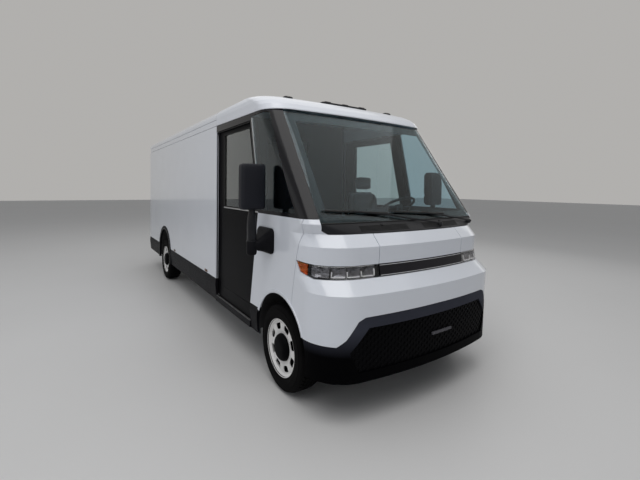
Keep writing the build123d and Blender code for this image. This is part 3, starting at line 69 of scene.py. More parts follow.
# ---------------------------------------------------------------- materials
GRAINS = {"noise": ("TexNoise", {"Detail": 3}), "cells": ("TexVoronoi", {}), "brushed": ("TexNoise", {}),
    "weave": ("TexWave", {"Distortion": 1.5}), "ribs": ("TexWave", {"Distortion": 0.0})}


def new_node(tree, kind, **values):
    """A shader node with some of its sockets set. _ stands for the space in a socket's name."""
    return set_sockets(tree.nodes.new("ShaderNode" + kind), values)


def set_sockets(node, values):
    for socket, value in values.items():
        node.inputs[socket.replace("_", " ")].default_value = value
    return node


def wire(tree, *links):
    """Join (node, output, node, input) links."""
    for source, output, target, socket in links:
        tree.links.new(source.outputs[output], target.inputs[socket])


def finish(name, colour, rough, metal=0.0, mottle=0.1, patch=0.5, swing=0.06, grain=None, foot=None,
        **sockets):
    """A material whose colour and roughness wander a little, by mottle and swing, over a patch's size.

    grain is the (depth, size, pattern) of its surface, noise if no pattern is given. foot is the
    (colour, end, start) of a painted shade that it fades to, low on its object, as shares of the height.
    """
    material = bpy.data.materials.new(name)
    material.use_nodes = True
    tree = material.node_tree
    shader = set_sockets(tree.nodes["Principled BSDF"], {"Metallic": metal, **sockets})
    place = new_node(tree, "TexCoord")
    cloud = new_node(tree, "TexNoise", Scale=1 / patch, Detail=6)
    ramp = new_node(tree, "ValToRGB")
    for element, position, share in zip(ramp.color_ramp.elements, (0.3, 0.7), (1 - mottle, 1 + mottle)):
        element.position = position
        element.color = [min(1, c * share) for c in colour] + [1]
    spread = new_node(tree, "MapRange", To_Min=max(0.0, rough - swing), To_Max=rough + swing)
    wire(tree, (place, "Object", cloud, "Vector"), (cloud, "Fac", ramp, "Fac"),
        (ramp, "Color", shader, "Base Color"), (cloud, "Fac", spread, "Value"),
        (spread, "Result", shader, "Roughness"))
    # foot: painted shade, a darker colour towards the bottom of the object
    if foot:
        split = new_node(tree, "SeparateXYZ")
        rise = new_node(tree, "MapRange", From_Min=foot[1], From_Max=foot[2])
        fade = new_node(tree, "MixRGB", Color1=[*foot[0], 1])
        wire(tree, (place, "Generated", split, "Vector"), (split, "Z", rise, "Value"),
            (rise, "Result", fade, "Fac"), (ramp, "Color", fade, "Color2"),
            (fade, "Color", shader, "Base Color"))
    if grain:
        depth, size, pattern = (*grain, "noise")[:3]
        kind, settings = GRAINS[pattern]
        cells = new_node(tree, kind, Scale=1 / size, **settings)
        if kind == "TexWave":
            cells.bands_direction = "DIAGONAL" if pattern == "weave" else "Y"
        source, output = place, "Object"
        if pattern == "brushed":
            source, output = new_node(tree, "Mapping", Scale=(0.04, 0.04, 1)), "Vector"
            wire(tree, (place, "Object", source, "Vector"))
        bump = new_node(tree, "Bump", Strength=min(1.0, depth), Distance=size * 0.5)
        height = "Distance" if pattern == "cells" else "Fac"
        wire(tree, (source, output, cells, "Vector"), (cells, height, bump, "Height"),
            (bump, "Normal", shader, "Normal"))
    return material


def glass(name, colour, ior, rough=0.0, grain=None):
    """A clear or tinted material that light passes through."""
    return finish(name, colour, rough, mottle=0.03, patch=1.2, swing=0.0, grain=grain,
        Transmission_Weight=1.0, IOR=ior)


paint = finish("paint_white", (0.78, 0.815, 0.885), 0.24, mottle=0.012, swing=0.03, grain=(0.03, 0.004),
    Coat_Weight=0.9, Coat_Roughness=0.04)
cap_paint = finish("cap_white", (0.77, 0.80, 0.865), 0.32, mottle=0.015, swing=0.04, grain=(0.06, 0.006),
    Coat_Weight=0.5, Coat_Roughness=0.1)
door_black = finish("door_black", (0.0035, 0.0035, 0.0045), 0.34, mottle=0.2, swing=0.04,
    Specular_IOR_Level=0.03)
gloss_black = finish("gloss_black", (0.007, 0.007, 0.009), 0.16, swing=0.03, Specular_IOR_Level=0.2,
    Coat_Weight=0.12, Coat_Roughness=0.04)
trim = finish("moulded_black", (0.008, 0.008, 0.010), 0.46, mottle=0.2, swing=0.08,
    grain=(0.5, 0.0022, "cells"), Specular_IOR_Level=0.06)
smooth_trim = finish("smooth_black", (0.010, 0.0105, 0.013), 0.36, mottle=0.15, grain=(0.1, 0.003),
    Specular_IOR_Level=0.25)
# The bumper fades to near-black low down: painted shade over its lower face, which the floor lights
bumper_black = finish("bumper_black", (0.048, 0.051, 0.068), 0.42, mottle=0.12, grain=(0.1, 0.003),
    foot=((0.0015, 0.0015, 0.002), 0.40, 0.80), Specular_IOR_Level=0.015)
mirror_shell = finish("mirror_shell", (0.0125, 0.0135, 0.019), 0.5, mottle=0.15, grain=(0.4, 0.0022, "cells"),
    Specular_IOR_Level=0.2)
mesh_black = finish("mesh_black", (0.003, 0.003, 0.0037), 0.45, mottle=0.2, grain=(0.2, 0.003),
    Specular_IOR_Level=0.03)
rubber = finish("seal_rubber", (0.014, 0.014, 0.014), 0.62, mottle=0.25, grain=(0.3, 0.002))
tyre_rubber = finish("tyre_rubber", (0.0042, 0.0041, 0.0044), 0.8, mottle=0.3, patch=0.12, grain=(0.4, 0.003),
    Specular_IOR_Level=0.06)
wheel_paint = finish("wheel_silver", (0.86, 0.85, 0.84), 0.40, mottle=0.05, patch=0.1, grain=(0.12, 0.003))
chrome = finish("chrome", (0.82, 0.83, 0.85), 0.08, metal=1.0, mottle=0.04, patch=0.05)
dark_chrome = finish("dark_chrome", (0.034, 0.033, 0.038), 0.22, metal=1.0, patch=0.3)
mirror_pane = finish("mirror_silver", (0.72, 0.75, 0.77), 0.03, metal=1.0, mottle=0.02, swing=0.01)
aluminium = finish("brushed_aluminium", (0.60, 0.61, 0.62), 0.36, metal=1.0, mottle=0.06,
    grain=(0.25, 0.004, "brushed"))
galvanised = finish("galvanised_steel", (0.42, 0.43, 0.44), 0.42, metal=0.9, mottle=0.2, patch=0.03)
bar_grey = finish("bar_grey", (0.085, 0.083, 0.095), 0.45, grain=(0.1, 0.003), Specular_IOR_Level=0.2)
lamp_bowl = finish("lamp_bowl", (0.15, 0.15, 0.165), 0.16, metal=1.0, mottle=0.3, patch=0.02)
chassis = finish("chassis_black", (0.02, 0.02, 0.021), 0.55, mottle=0.3, grain=(0.35, 0.004))
cast = finish("cast_iron", (0.13, 0.13, 0.135), 0.6, metal=0.6, mottle=0.25, patch=0.06, grain=(0.7, 0.004))
inner_plastic = finish("inner_plastic", (0.040, 0.043, 0.047), 0.58, grain=(0.5, 0.0018, "cells"))
liner_plastic = finish("liner_plastic", (0.032, 0.040, 0.047), 0.6, grain=(0.4, 0.002, "cells"))
floor_rubber = finish("floor_covering", (0.045, 0.046, 0.050), 0.7, mottle=0.2, grain=(0.8, 0.012, "ribs"))
fabric = finish("seat_weave", (0.045, 0.047, 0.052), 0.92, mottle=0.25, patch=0.02,
    grain=(0.9, 0.0022, "weave"), Sheen_Weight=0.35)
fabric_side = finish("seat_side_vinyl", (0.028, 0.028, 0.031), 0.55, mottle=0.15, grain=(0.6, 0.003, "cells"))
webbing = finish("belt_webbing", (0.02, 0.02, 0.022), 0.8, mottle=0.2, grain=(0.9, 0.0015, "weave"))
yellow = finish("safety_yellow", (0.75, 0.5, 0.03), 0.5, mottle=0.12, grain=(0.3, 0.003))
tinted = glass("tinted_glass", (0.63, 0.785, 0.84), 1.33)
side_glass = glass("side_glass", (0.74, 0.83, 0.82), 1.75)
clear = glass("lamp_clear", (0.97, 0.98, 0.99), 1.3)
amber = glass("lamp_amber", (1.0, 0.32, 0.02), 1.35, rough=0.08, grain=(0.5, 0.01, "ribs"))
red = glass("lamp_red", (0.85, 0.02, 0.02), 1.35, rough=0.08, grain=(0.5, 0.01, "ribs"))
screen_face = finish("display_face", (0.01, 0.012, 0.016), 0.08, mottle=0.2, Coat_Weight=1.0)
guide_white = finish("guide_white", (0.95, 0.95, 0.97), 0.3, mottle=0.02, patch=0.05)
plate_white = finish("plate_blank", (0.72, 0.72, 0.7), 0.4, mottle=0.04, patch=0.05)
frit = finish("glass_frit", (0.008, 0.008, 0.009), 0.2, mottle=0.2)

NODE_LOOKS = {paint: "front_panels hood roof_panel roof_rails side_panels rear_frame rear_door",
    cap_paint: "roof_cap", bumper_black: "front_bumper", mesh_black: "bumper_grille", clear: "headlamps",
    amber: "turn_lamps marker_lamps", red: "tail_lamps", dark_chrome: "light_bar",
    smooth_trim: "cowl mirror_left mirror_right", gloss_black: "cab_frame", tinted: "cab_glass",
    liner_plastic: "cab_shell bulkhead", trim: "lower_trim arch_trims mirror_brackets wipers",
    chassis: "wheel_housings rear_bumper frame_rails", floor_rubber: "floor", aluminium: "battery_pack",
    cast: "front_suspension rear_suspension knuckle_left knuckle_right",
    inner_plastic: "dashboard steering_wheel", fabric: "seats", door_black: "door_left door_right",
    side_glass: "door_glass_left door_glass_right",
    tyre_rubber: "tyre_front_left tyre_front_right tyre_rear_left tyre_rear_right",
    wheel_paint: "rim_front_left rim_front_right rim_rear_left rim_rear_right",}
for look, names in NODE_LOOKS.items():
    for node in names.split():
        nodes[node].data.materials.clear()
        nodes[node].data.materials.append(look)


# ---------------------------------------------------------------- mesh building
class Shape:
    """Points and faces gathered from simple moves, shown as one piece."""

    def __init__(self):
        self.points, self.faces = [], []

    def add(self, points, faces):
        first = len(self.points)
        self.points += [Vector(p) for p in points]
        self.faces += [[first + i for i in face] for face in faces]
        return self

    def grid(self, rows, around=False, along=False, caps=False):
        """Quads between rows of points. around closes each row, along joins the last row to the first."""
        width, count = len(rows[0]), len(rows)
        faces = []
        for r in range(count if along else count - 1):
            after = (r + 1) % count * width
            for c in range(width if around else width - 1):
                beside = (c + 1) % width
                faces.append([r * width + c, r * width + beside, after + beside, after + c])
        if caps:
            faces += [list(range(width))[::-1], [(count - 1) * width + c for c in range(width)]]
        return self.add([p for row in rows for p in row], faces)

    def tube(self, rows):
        """Closed rows joined into a closed body."""
        return self.grid(rows, around=True, caps=True)

    def prism(self, outline, axis, start, end):
        """A flat outline run along X, where its points are (y, z), or along Z, where they are (x, y)."""
        return self.tube([[(w, u, v) if axis == "X" else (u, v, w) for u, v in outline]
            for w in (start, end)])

    def lathe(self, profile, centre=(0, 0, 0), outward=(0, 1, 0), steps=96, closed=False):
        """Turn (outward, radius) points about an axis through centre."""
        axis = Vector(outward).normalized()
        across = axis.orthogonal().normalized()
        third = axis.cross(across)
        rows = []
        for k in range(steps):
            turn = 2 * math.pi * k / steps
            arm = across * math.cos(turn) + third * math.sin(turn)
            rows.append([Vector(centre) + axis * w + arm * r for w, r in profile])
        return self.grid(rows, around=closed, along=True)

    def sweep(self, path, section, closed=False, up=(0, 0, 1)):
        """Run a section, of (across, up) points, along a path."""
        path = [Vector(p) for p in path]
        rows = []
        for k, here in enumerate(path):
            ahead = path[(k + 1) % len(path)] if closed or k + 1 < len(path) else here
            behind = path[k - 1] if closed or k else here
            along = (ahead - behind).normalized()
            across = along.cross(Vector(up)).normalized()
            rise = across.cross(along)
            rows.append([here + across * u + rise * v for u, v in section])
        return self.grid(rows, around=True, along=closed, caps=not closed)

    def side_plate(self, x_range, z_range, y, side, depth, radius=0.01):
        """A rounded plate on a side face, from y outwards by depth."""
        (x0, x1), (z0, z1) = x_range, z_range
        outline = [(at((x0 + x1) / 2) + u, (z0 + z1) / 2 + v) for u, v in rounded(x1 - x0, z1 - z0, radius)]
        return self.tube([[(u, side * (y + w), v) for u, v in outline] for w in (0, depth)])

    def rear_plate(self, y_range, z_range, x, depth, radius=0.01):
        """A rounded plate on a face that looks backwards, from x outwards by depth."""
        (y0, y1), (z0, z1) = sorted(y_range), z_range
        outline = [((y0 + y1) / 2 + u, (z0 + z1) / 2 + v) for u, v in rounded(y1 - y0, z1 - z0, radius)]
        return self.tube([[(x - w, u, v) for u, v in outline] for w in (0, depth)])

    def mesh(self, name):
        mesh = bpy.data.meshes.new(name)
        mesh.from_pydata(self.points, [], self.faces)
        work = bmesh.new()
        work.from_mesh(mesh)
        bmesh.ops.remove_doubles(work, verts=work.verts, dist=1e-5)
        bmesh.ops.recalc_face_normals(work, faces=work.faces)
        work.to_mesh(mesh)
        work.free()
        return mesh

    def show(self, name, look, body="van_body", **options):
        return show_mesh(self.mesh(name), name, look, body, **options)


def add_object(name, data):
    obj = bpy.data.objects.new(name, data)
    scene.collection.objects.link(obj)
    return obj


def show_mesh(mesh, name, look, body="van_body", bevel=0.0, smooth=35, replaces=(), slot=None, thick=0.0):
    """Link a mesh as a piece on a body, with its edges rounded and its faces smoothed."""
    obj = add_object(name, mesh)
    mesh.materials.clear()
    mesh.materials.append(look)
    for polygon in mesh.polygons:
        polygon.use_smooth = True
    mesh.set_sharp_from_angle(angle=math.radians(smooth))
    if thick:
        wall = obj.modifiers.new("wall", "SOLIDIFY")
        wall.thickness = thick
        wall.offset = -1
    if bevel:
        edge = obj.modifiers.new("edges", "BEVEL")
        edge.width = bevel
        edge.segments = 2
        edge.limit_method = "ANGLE"
        edge.angle_limit = math.radians(40)
        edge.harden_normals = False
    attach(obj, body)
    if replaces:
        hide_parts(*replaces)
    return obj


def applied(obj):
    """The mesh of a work object with its modifiers; the object itself goes."""
    made = bpy.data.meshes.new_from_object(obj.evaluated_get(bpy.context.evaluated_depsgraph_get()))
    bpy.data.objects.remove(obj)
    return made


def circle(radius, steps=12):
    turns = [2 * math.pi * k / steps for k in range(steps)]
    return [(radius * math.cos(turn), radius * math.sin(turn)) for turn in turns]


def rounded(width, height, radius, steps=4):
    """A rectangle with rounded corners, about its middle."""
    points = []
    for quarter, (sx, sy) in enumerate(((1, 1), (-1, 1), (-1, -1), (1, -1))):
        for k in range(steps + 1):
            turn = math.radians(90 * quarter + 90 * k / steps)
            points.append((sx * (width / 2 - radius) + radius * math.cos(turn),
                sy * (height / 2 - radius) + radius * math.sin(turn)))
    return points


def scaled(outline, share):
    return [(u * share, v * share) for u, v in outline]


def level(outline, centre, z):
    """A flat outline laid level about a centre."""
    return [(centre[0] + u, centre[1] + v, z) for u, v in outline]


def spaced(start, end, count):
    """Even numbers from start to end."""
    return [start + (end - start) * k / (count - 1) for k in range(count)]


def run(start, end, steps):
    """Even points from one pair of numbers to another."""
    return [tuple(a + (b - a) * k / steps for a, b in zip(start, end)) for k in range(steps + 1)]


def mesh_tree(*meshes):
    """A tree of the faces of some meshes, to find points on them."""
    points, faces = [], []
    for mesh in meshes:
        first = len(points)
        points += [v.co.copy() for v in mesh.vertices]
        faces += [[first + i for i in p.vertices] for p in mesh.polygons]
    return BVHTree.FromPolygons(points, faces)


def surface(*names):
    return mesh_tree(*(nodes[name].data for name in names))


def meet(tree, start, direction, proud=0.0):
    """Point where a ray meets a surface, moved out along the surface's normal."""
    spot, normal, _, _ = tree.ray_cast(Vector(start), Vector(direction))
    if spot is None:
        raise ValueError(f"no surface from {tuple(start)} along {tuple(direction)}")
    if normal.dot(Vector(direction)) > 0:
        normal = -normal
    return spot + normal * proud, normal


# ---------------------------------------------------------------- wheels
TREAD = 0.009
CROWN = TYRE_RADIUS - TREAD
TYRE_PROFILE = [(-0.092, 0.238), (-0.104, 0.244), (-0.112, 0.262), (-0.1175, 0.293), (-0.1165, 0.315),
    (-0.1125, 0.335), (-0.108, 0.35), (-0.100, 0.361), (-0.088, CROWN), (0.088, CROWN), (0.100, 0.361),
    (0.108, 0.35), (0.1125, 0.335), (0.113, 0.331), (0.1165, 0.330), (0.1165, 0.315), (0.1175, 0.293),
    (0.1160, 0.280), (0.1145, 0.276), (0.112, 0.262), (0.104, 0.244), (0.092, 0.238)]
RIBS = [(-0.098, -0.064), (-0.057, -0.021), (-0.015, 0.015), (0.021, 0.057), (0.064, 0.098)]
BLOCKS = 56


def wheel_point(across, radius, turn):
    return Vector((radius * math.cos(turn), across, radius * math.sin(turn)))


def tyre_mesh():
    shape = Shape().lathe(TYRE_PROFILE, steps=128)
    pitch = 2 * math.pi / BLOCKS
    for rib, (inner, outer) in enumerate(RIBS):
        edge_rib = rib in (0, len(RIBS) - 1)
        lean = 0.12 * pitch * (1 if rib < 2 else -1 if rib > 2 else 0)
        fill = 0.82 if edge_rib else 0.86
        for k in range(BLOCKS):
            start = (k + 0.5 * (rib % 2)) * pitch
            foot, top = [], []
            for across, shift, parts in ((inner, 0, (0, fill)), (outer, lean, (fill, 0))):
                drop = 0.011 if edge_rib and abs(across) > 0.09 else 0.0
                for part in parts:
                    turn = start + shift + part * pitch
                    foot.append(wheel_point(across, CROWN - 0.003 - drop, turn))
                    top.append(wheel_point(across * 0.99, TYRE_RADIUS - drop - 0.0005,
                        turn + (0.02 - 0.04 * part) * pitch))
            shape.tube([foot, top])
    for k in range(BLOCKS * 2):
        turn = k * pitch / 2
        shape.grid([[wheel_point(w, r, turn + d) for w, r in ((0.1075, 0.352), (0.1135, 0.334))]
            for d in (0, 0.2 * pitch)])
    return shape.mesh("tyre")


RIM_EDGE = [(0.104, 0.242), (0.106, 0.247), (0.101, 0.2485), (0.098, 0.243), (0.095, 0.235), (0.088, 0.231),
    (0.080, 0.228), (0.075, 0.222)]
DISC = [(0.075, 0.222), (0.078, 0.217), (0.0835, 0.211), (0.0865, 0.203), (0.0875, 0.190), (0.0875, 0.165),
    (0.0865, 0.150), (0.083, 0.138), (0.079, 0.128), (0.077, 0.118), (0.076, 0.05)]
BARREL = [(0.072, 0.223), (0.03, 0.216), (-0.02, 0.205), (-0.05, 0.213), (-0.094, 0.232), (-0.099, 0.243),
    (-0.104, 0.246), (-0.106, 0.24), (-0.098, 0.229), (-0.05, 0.208), (-0.02, 0.2), (0.03, 0.21),
    (0.068, 0.217)]
HAND_HOLES = 8
HOLE_RADIUS = 0.181
HOLE_SIZE = (0.054, 0.082, 0.018)   # across the spoke line, round the wheel, corner
HOLE_SPREAD = 4.5                   # how fast a hole widens outwards


def rim_mesh():
    """Pressed disc with its hand holes cut, rim edge and barrel."""
    back = [(w - 0.007, r - 0.001) for w, r in reversed(DISC)]
    disc = add_object("rim_work", Shape().lathe(DISC + back, steps=160, closed=True).mesh("rim"))
    cutter = Shape()
    for k in range(HAND_HOLES):
        spin = Matrix.Rotation(2 * math.pi * (k + 0.5) / HAND_HOLES, 3, "Y")
        outline = [(HOLE_RADIUS + u, v * (1 + HOLE_SPREAD * u)) for u, v in rounded(*HOLE_SIZE, 5)]
        cutter.tube([[spin @ Vector((u, depth, v)) for u, v in outline] for depth in (0.02, 0.13)])
    knife = add_object("rim_knife", cutter.mesh("knife"))
    cut = disc.modifiers.new("holes", "BOOLEAN")
    cut.operation = "DIFFERENCE"
    cut.object = knife
    cut.solver = "EXACT"
    cut.use_hole_tolerant = True
    bpy.context.view_layer.update()
    result = applied(disc)
    bpy.data.objects.remove(knife)
    ring = Shape().lathe(RIM_EDGE, steps=160).lathe(BARREL, steps=128, closed=True)
    work = bmesh.new()
    work.from_mesh(result)
    work.from_mesh(ring.mesh("barrel"))
    bmesh.ops.recalc_face_normals(work, faces=work.faces)
    work.to_mesh(result)
    work.free()
    return result


def cap_mesh():
    """Black centre cap: a dome, the outline of a nut and six bolts."""
    shape = Shape().lathe([(0.070, 0.118), (0.086, 0.117), (0.099, 0.113), (0.110, 0.105), (0.118, 0.094),
        (0.124, 0.078), (0.1265, 0.058), (0.1275, 0.034), (0.1275, 0.0)], steps=64)
    nut = ((0.098, 1.0), (0.1065, 1.0), (0.108, 0.95), (0.108, 0.62), (0.104, 0.58))
    shape.tube([[(u, w, v) for u, v in scaled(circle(0.040, 6), s)] for w, s in nut])
    for k in range(6):
        shape.lathe([(0.08, 0.009), (0.096, 0.009), (0.0985, 0.006), (0.0985, 0.0)],
            wheel_point(0, 0.094, math.pi * (k + 0.5) / 3), steps=16)
    return shape.mesh("cap")


def drum_and_shade_sleeve_mesh():
    """Dark drum with its fins, and a dark sleeve in the barrel, that fill the wheel behind its hand holes.
    The sleeve is painted shade for the barrel's shadowed inside; the drum is real, and its near-black colour
    paints shade too.
    """
    shape = Shape().lathe([(0.030, 0.066), (0.030, 0.150), (0.020, 0.170), (-0.005, 0.186), (-0.012, 0.186),
        (-0.040, 0.180), (-0.040, 0.130)], steps=64)
    # Dark sleeve just inside the barrel: painted shade, so the hand holes read dark
    shape.lathe([(0.066, 0.2155), (0.030, 0.2088), (-0.020, 0.1988), (-0.050, 0.2068)], steps=96)
    for k in range(24):
        turn = 2 * math.pi * k / 24
        shape.sweep([wheel_point(0.022, 0.12, turn), wheel_point(0.012, 0.178, turn)],
            rounded(0.008, 0.006, 0.001), up=(0, 1, 0))
    return shape.mesh("brake")


# The drum piece is a real brake drum, and with its sleeve it is painted shade in the wheel behind the hand
# holes
WHEEL_PARTS = (("treaded_tyre", tyre_mesh(), tyre_rubber, 30, "tyre", None),
    ("pressed_wheel", rim_mesh(), wheel_paint, 32, "rim", None), ("brake_drum", drum_and_shade_sleeve_mesh(), mesh_black, 30,
    None, "chassis_black"), ("hub_cap", cap_mesh(), mesh_black, 30, None, None))
for end, axle in (("front", FRONT_AXLE), ("rear", REAR_AXLE)):
    for name, side in SIDES.items():
        outwards = Matrix.Identity(4) if side > 0 else Matrix.Rotation(math.pi, 4, "Z")
        for part, mesh, look, smooth, stands_for, slot in WHEEL_PARTS:
            copy = mesh.copy()
            copy.transform(Matrix.Translation((axle, side * WHEEL_Y, TYRE_RADIUS)) @ outwards)
            replaces = [f"{stands_for}_{end}_{name}"] if stands_for else ()
            show_mesh(copy, f"{part}_{end}_{name}", look, f"wheel_{end}_{name}", smooth=smooth,
                replaces=replaces, slot=slot)

# ---------------------------------------------------------------- lamps in the nose
SEAM = 0.003
LAMP_LOW = [(0.297, 1.203), (0.350, 1.119), (0.480, 1.083), (0.945, 1.091)]
LAMP_HIGH = [(0.297, 1.203), (0.480, 1.186), (0.945, 1.180)]
LAMP_PIVOT = (at(0.36), 0.60)
lamp_skin = surface("headlamps", "turn_lamps")


def between(points, x):
    """Height on a line of (x, height) points."""
    for (x0, y0), (x1, y1) in zip(points, points[1:]):
        if x <= x1:
            return y0 + (y1 - y0) * max(0.0, x - x0) / (x1 - x0)
    return points[-1][1]


def lamp_point(side, turn, share, depth):
    """Point on a lamp: turn round the corner, share of its height, depth behind its face."""
    out = Vector((math.cos(turn), side * math.sin(turn), 0))
    pivot = Vector((LAMP_PIVOT[0], side * LAMP_PIVOT[1], 0))

    def on_skin(z):
        return meet(lamp_skin, pivot + out * 1.0 + Vector((0, 0, z)), -out)

    guess = LAMP_PIVOT[0] - FRONT_AXLE + (HALF_WIDTH - LAMP_PIVOT[1]) / math.tan(turn) if turn > 0.8 else 0.7
    reach = on_skin((between(LAMP_LOW, guess) + between(LAMP_HIGH, guess)) / 2)[0].x - FRONT_AXLE
    low = between(LAMP_LOW, reach) + SEAM
    high = between(LAMP_HIGH, reach) - SEAM
    spot, normal = on_skin(low + (high - low) * share)
    return spot - normal * depth, normal


def lamp_strip(side, turns, rows):
    """Rows of (share, depth) run round the corner."""
    return [[lamp_point(side, t, share, depth)[0] for share, depth in rows] for t in turns]


LENS_START, LENS_END, AMBER_END = -0.186, 1.405, 1.675
TRAY = [(0.0, 0.002), (0.03, 0.012), (0.08, 0.029), (0.5, 0.0295), (0.92, 0.029), (0.97, 0.012), (1.0, 0.002)]
REFLECTORS = ((0.955, 0.665), (0.635, 0.325), (0.295, -0.075))
ROUND_BOWL = (1.345, 1.0)
BRACKET_DEPTH = 0.0085
for name, side in SIDES.items():
    for part, turns, look, tray_look, node in (("headlamp", spaced(LENS_START, LENS_END, 44), clear,
            dark_chrome, "headlamps"), ("turn_lamp", spaced(LENS_END + 0.012, AMBER_END, 10), amber, chrome,
            "turn_lamps")):
        lens = Shape().grid(lamp_strip(side, turns, [(k / 6, 0.0012) for k in range(7)]))
        lens.show(f"{part}_lens_{name}", look, thick=0.0025, replaces=[node], smooth=60)
        tray = Shape().grid(lamp_strip(side, turns, TRAY))
        for row in lamp_strip(side, (turns[0], turns[-1]), TRAY[:3] + TRAY[4:]):
            tray.add(row, [list(range(len(row)))])
        tray.show(f"{part}_tray_{name}", tray_look, smooth=50)

    bowls, brackets, domes = Shape(), Shape(), Shape()
    for outer_turn, inner_turn in REFLECTORS + (ROUND_BOWL,):
        round_one = outer_turn == ROUND_BOWL[0]
        rows = []
        for u in spaced(-1, 1, 13):
            row = []
            for v in spaced(-1, 1, 9):
                reach = math.hypot(u, v) if round_one else max(abs(u), abs(v))
                dish = 0.019 * (1 - min(1.0, reach) ** 2.5)
                turn = (outer_turn + inner_turn) / 2 + (inner_turn - outer_turn) / 2 * u
                row.append(lamp_point(side, turn, 0.5 + 0.40 * v, 0.006 + dish)[0])
            rows.append(row)
        bowls.grid(rows)
        middle, normal = lamp_point(side, outer_turn * 0.5 + inner_turn * 0.5, 0.56, 0.010)
        domes.lathe([(0.003, 0.0), (0.001, 0.012), (-0.006, 0.0165), (-0.012, 0.017)], middle, outward=normal,
            steps=24)
        if not round_one:
            path = [(outer_turn, share) for share in (0.60, 0.38, 0.15)]
            path += [(turn, 0.15) for turn in spaced(outer_turn, inner_turn + 0.02, 8)[1:]]
            if inner_turn < 0:
                path += [(inner_turn + 0.01, share) for share in (0.4, 0.7)]
            brackets.sweep([lamp_point(side, turn, share, BRACKET_DEPTH)[0] for turn, share in path],
                rounded(0.009, 0.013, 0.002, 2), up=normal)
    bowls.show(f"lamp_reflectors_{name}", lamp_bowl, smooth=50)
    brackets.show(f"lamp_brackets_{name}", guide_white)
    domes.show(f"lamp_domes_{name}", clear)
    guide = [lamp_point(side, t, 0.045, 0.009)[0] for t in spaced(LENS_START + 0.03, LENS_END - 0.05, 30)]
    Shape().sweep(guide, circle(0.0034, 10)).show(f"light_guide_{name}", clear)

# ---------------------------------------------------------------- nose: grille, cowl and wipers
nose = surface("front_panels", "front_bumper", "light_bar", "hood", "cowl", "bumper_grille", "headlamps")
screen = surface("cab_glass", "cab_frame", "cowl", "front_panels")


def on_front(tree, y, z, proud=0.0):
    """Point on a front surface, and its normal. It looks a little beside a point that falls in a seam."""
    inwards = -1 if y > 0 else 1
    for dy, dz in ((0, 0), (0, 0.008), (0, -0.008), (0.01 * inwards, 0), (0.02 * inwards, 0)):
        spot, normal, _, _ = tree.ray_cast(Vector((NOSE + 0.5, y + dy, z + dz)), BACK)
        if spot is not None:
            normal = normal if normal.x > 0 else -normal
            return Vector((spot.x, y, z)) + normal * proud, normal
    raise ValueError(f"no front surface at {y:.3f}, {z:.3f}")


def front_line(tree, points, proud, steps):
    """Points on a front surface along a line of (y, z) points."""
    found = []
    for start, end in zip(points, points[1:]):
        found += run(start, end, steps)[:-1]
    return [on_front(tree, *point, proud)[0] for point in found + [points[-1]]]


Shape().sweep(front_line(nose, [(-0.030, 0.566), (0.225, 0.566)], 0.006, 8), rounded(0.022, 0.018, 0.004),
    up=(1, 0, 0)).show("grille_bar", bar_grey)
bar_edge = Shape()
for z in (1.0965, 1.1745):
    bar_edge.sweep(front_line(nose, [(-0.523, z), (0.523, z)], 0.0005, 24), rounded(0.005, 0.004, 0.0012),
        up=(1, 0, 0))
bar_edge.show("light_bar_edges", chrome)

cowl_rows = Shape()
for side in SIDES.values():
    for row in range(5):
        z = 1.440 + row * 0.0085
        cowl_rows.sweep(front_line(nose, [(side * 0.10, z), (side * 0.62, z)], 0.0015, 12),
            rounded(0.004, 0.005, 0.001), up=(1, 0, 0))
cowl_rows.show("cowl_louvres", rubber)
SCREEN_FOOT = 1.4995
Shape().sweep(front_line(screen, [(-0.948, SCREEN_FOOT), (0.948, SCREEN_FOOT)], 0.003, 30), circle(0.006, 8),
    up=(1, 0, 0)).show("screen_foot_seal", rubber)

BLADES = {"right": ((-0.914, 1.597), (-0.233, 1.561), (-0.244, 1.544), (0.333, 1.451), 0.42),
    "left": ((-0.191, 1.574), (0.521, 1.539), (0.500, 1.515), (0.862, 1.458), 0.55)}
OFF_SCREEN = (1, 0, 0.4)
for name, (tip, tail, joint, pivot, share) in BLADES.items():
    blade = Shape().sweep(front_line(screen, [tip, tail], 0.006, 24),
        [(-0.003, -0.005), (0.003, -0.005), (0.0045, 0.002), (0.002, 0.006), (-0.002, 0.006),
        (-0.0045, 0.002)], up=OFF_SCREEN)
    blade.sweep(front_line(screen, [tip, tail], 0.013, 24)[1:-1], [(-0.009, -0.004), (0.009, -0.002),
        (0.008, 0.003), (-0.002, 0.007), (-0.008, 0.002)], up=OFF_SCREEN)
    middle = (tip[0] + (tail[0] - tip[0]) * share, tip[1] + (tail[1] - tip[1]) * share)
    hold = on_front(screen, *middle, 0.017)[0]
    blade.sweep([hold + Vector((0, dy, 0)) for dy in (-0.035, 0.035)], rounded(0.02, 0.012, 0.004),
        up=OFF_SCREEN)
    blade.show(f"wiper_blade_{name}", rubber, bevel=0.0006, replaces=["wipers"])
    route = front_line(screen, [middle, joint, pivot], 0.019, 12)
    route[0] += Vector((0.006, 0, 0))
    arm = Shape().sweep(route, [(-0.008, -0.003), (0.008, -0.003), (0.006, 0.004), (-0.006, 0.004)],
        up=OFF_SCREEN)
    foot, normal = on_front(screen, *pivot)
    arm.lathe([(0.0, 0.024), (0.012, 0.024), (0.02, 0.02), (0.026, 0.017), (0.028, 0.012), (0.028, 0.0)],
        foot, outward=normal, steps=28)
    arm.lathe([(0.028, 0.009), (0.034, 0.009), (0.036, 0.006), (0.036, 0.0)], foot, outward=normal, steps=6)
    arm.show(f"wiper_arm_{name}", smooth_trim, bevel=0.001)

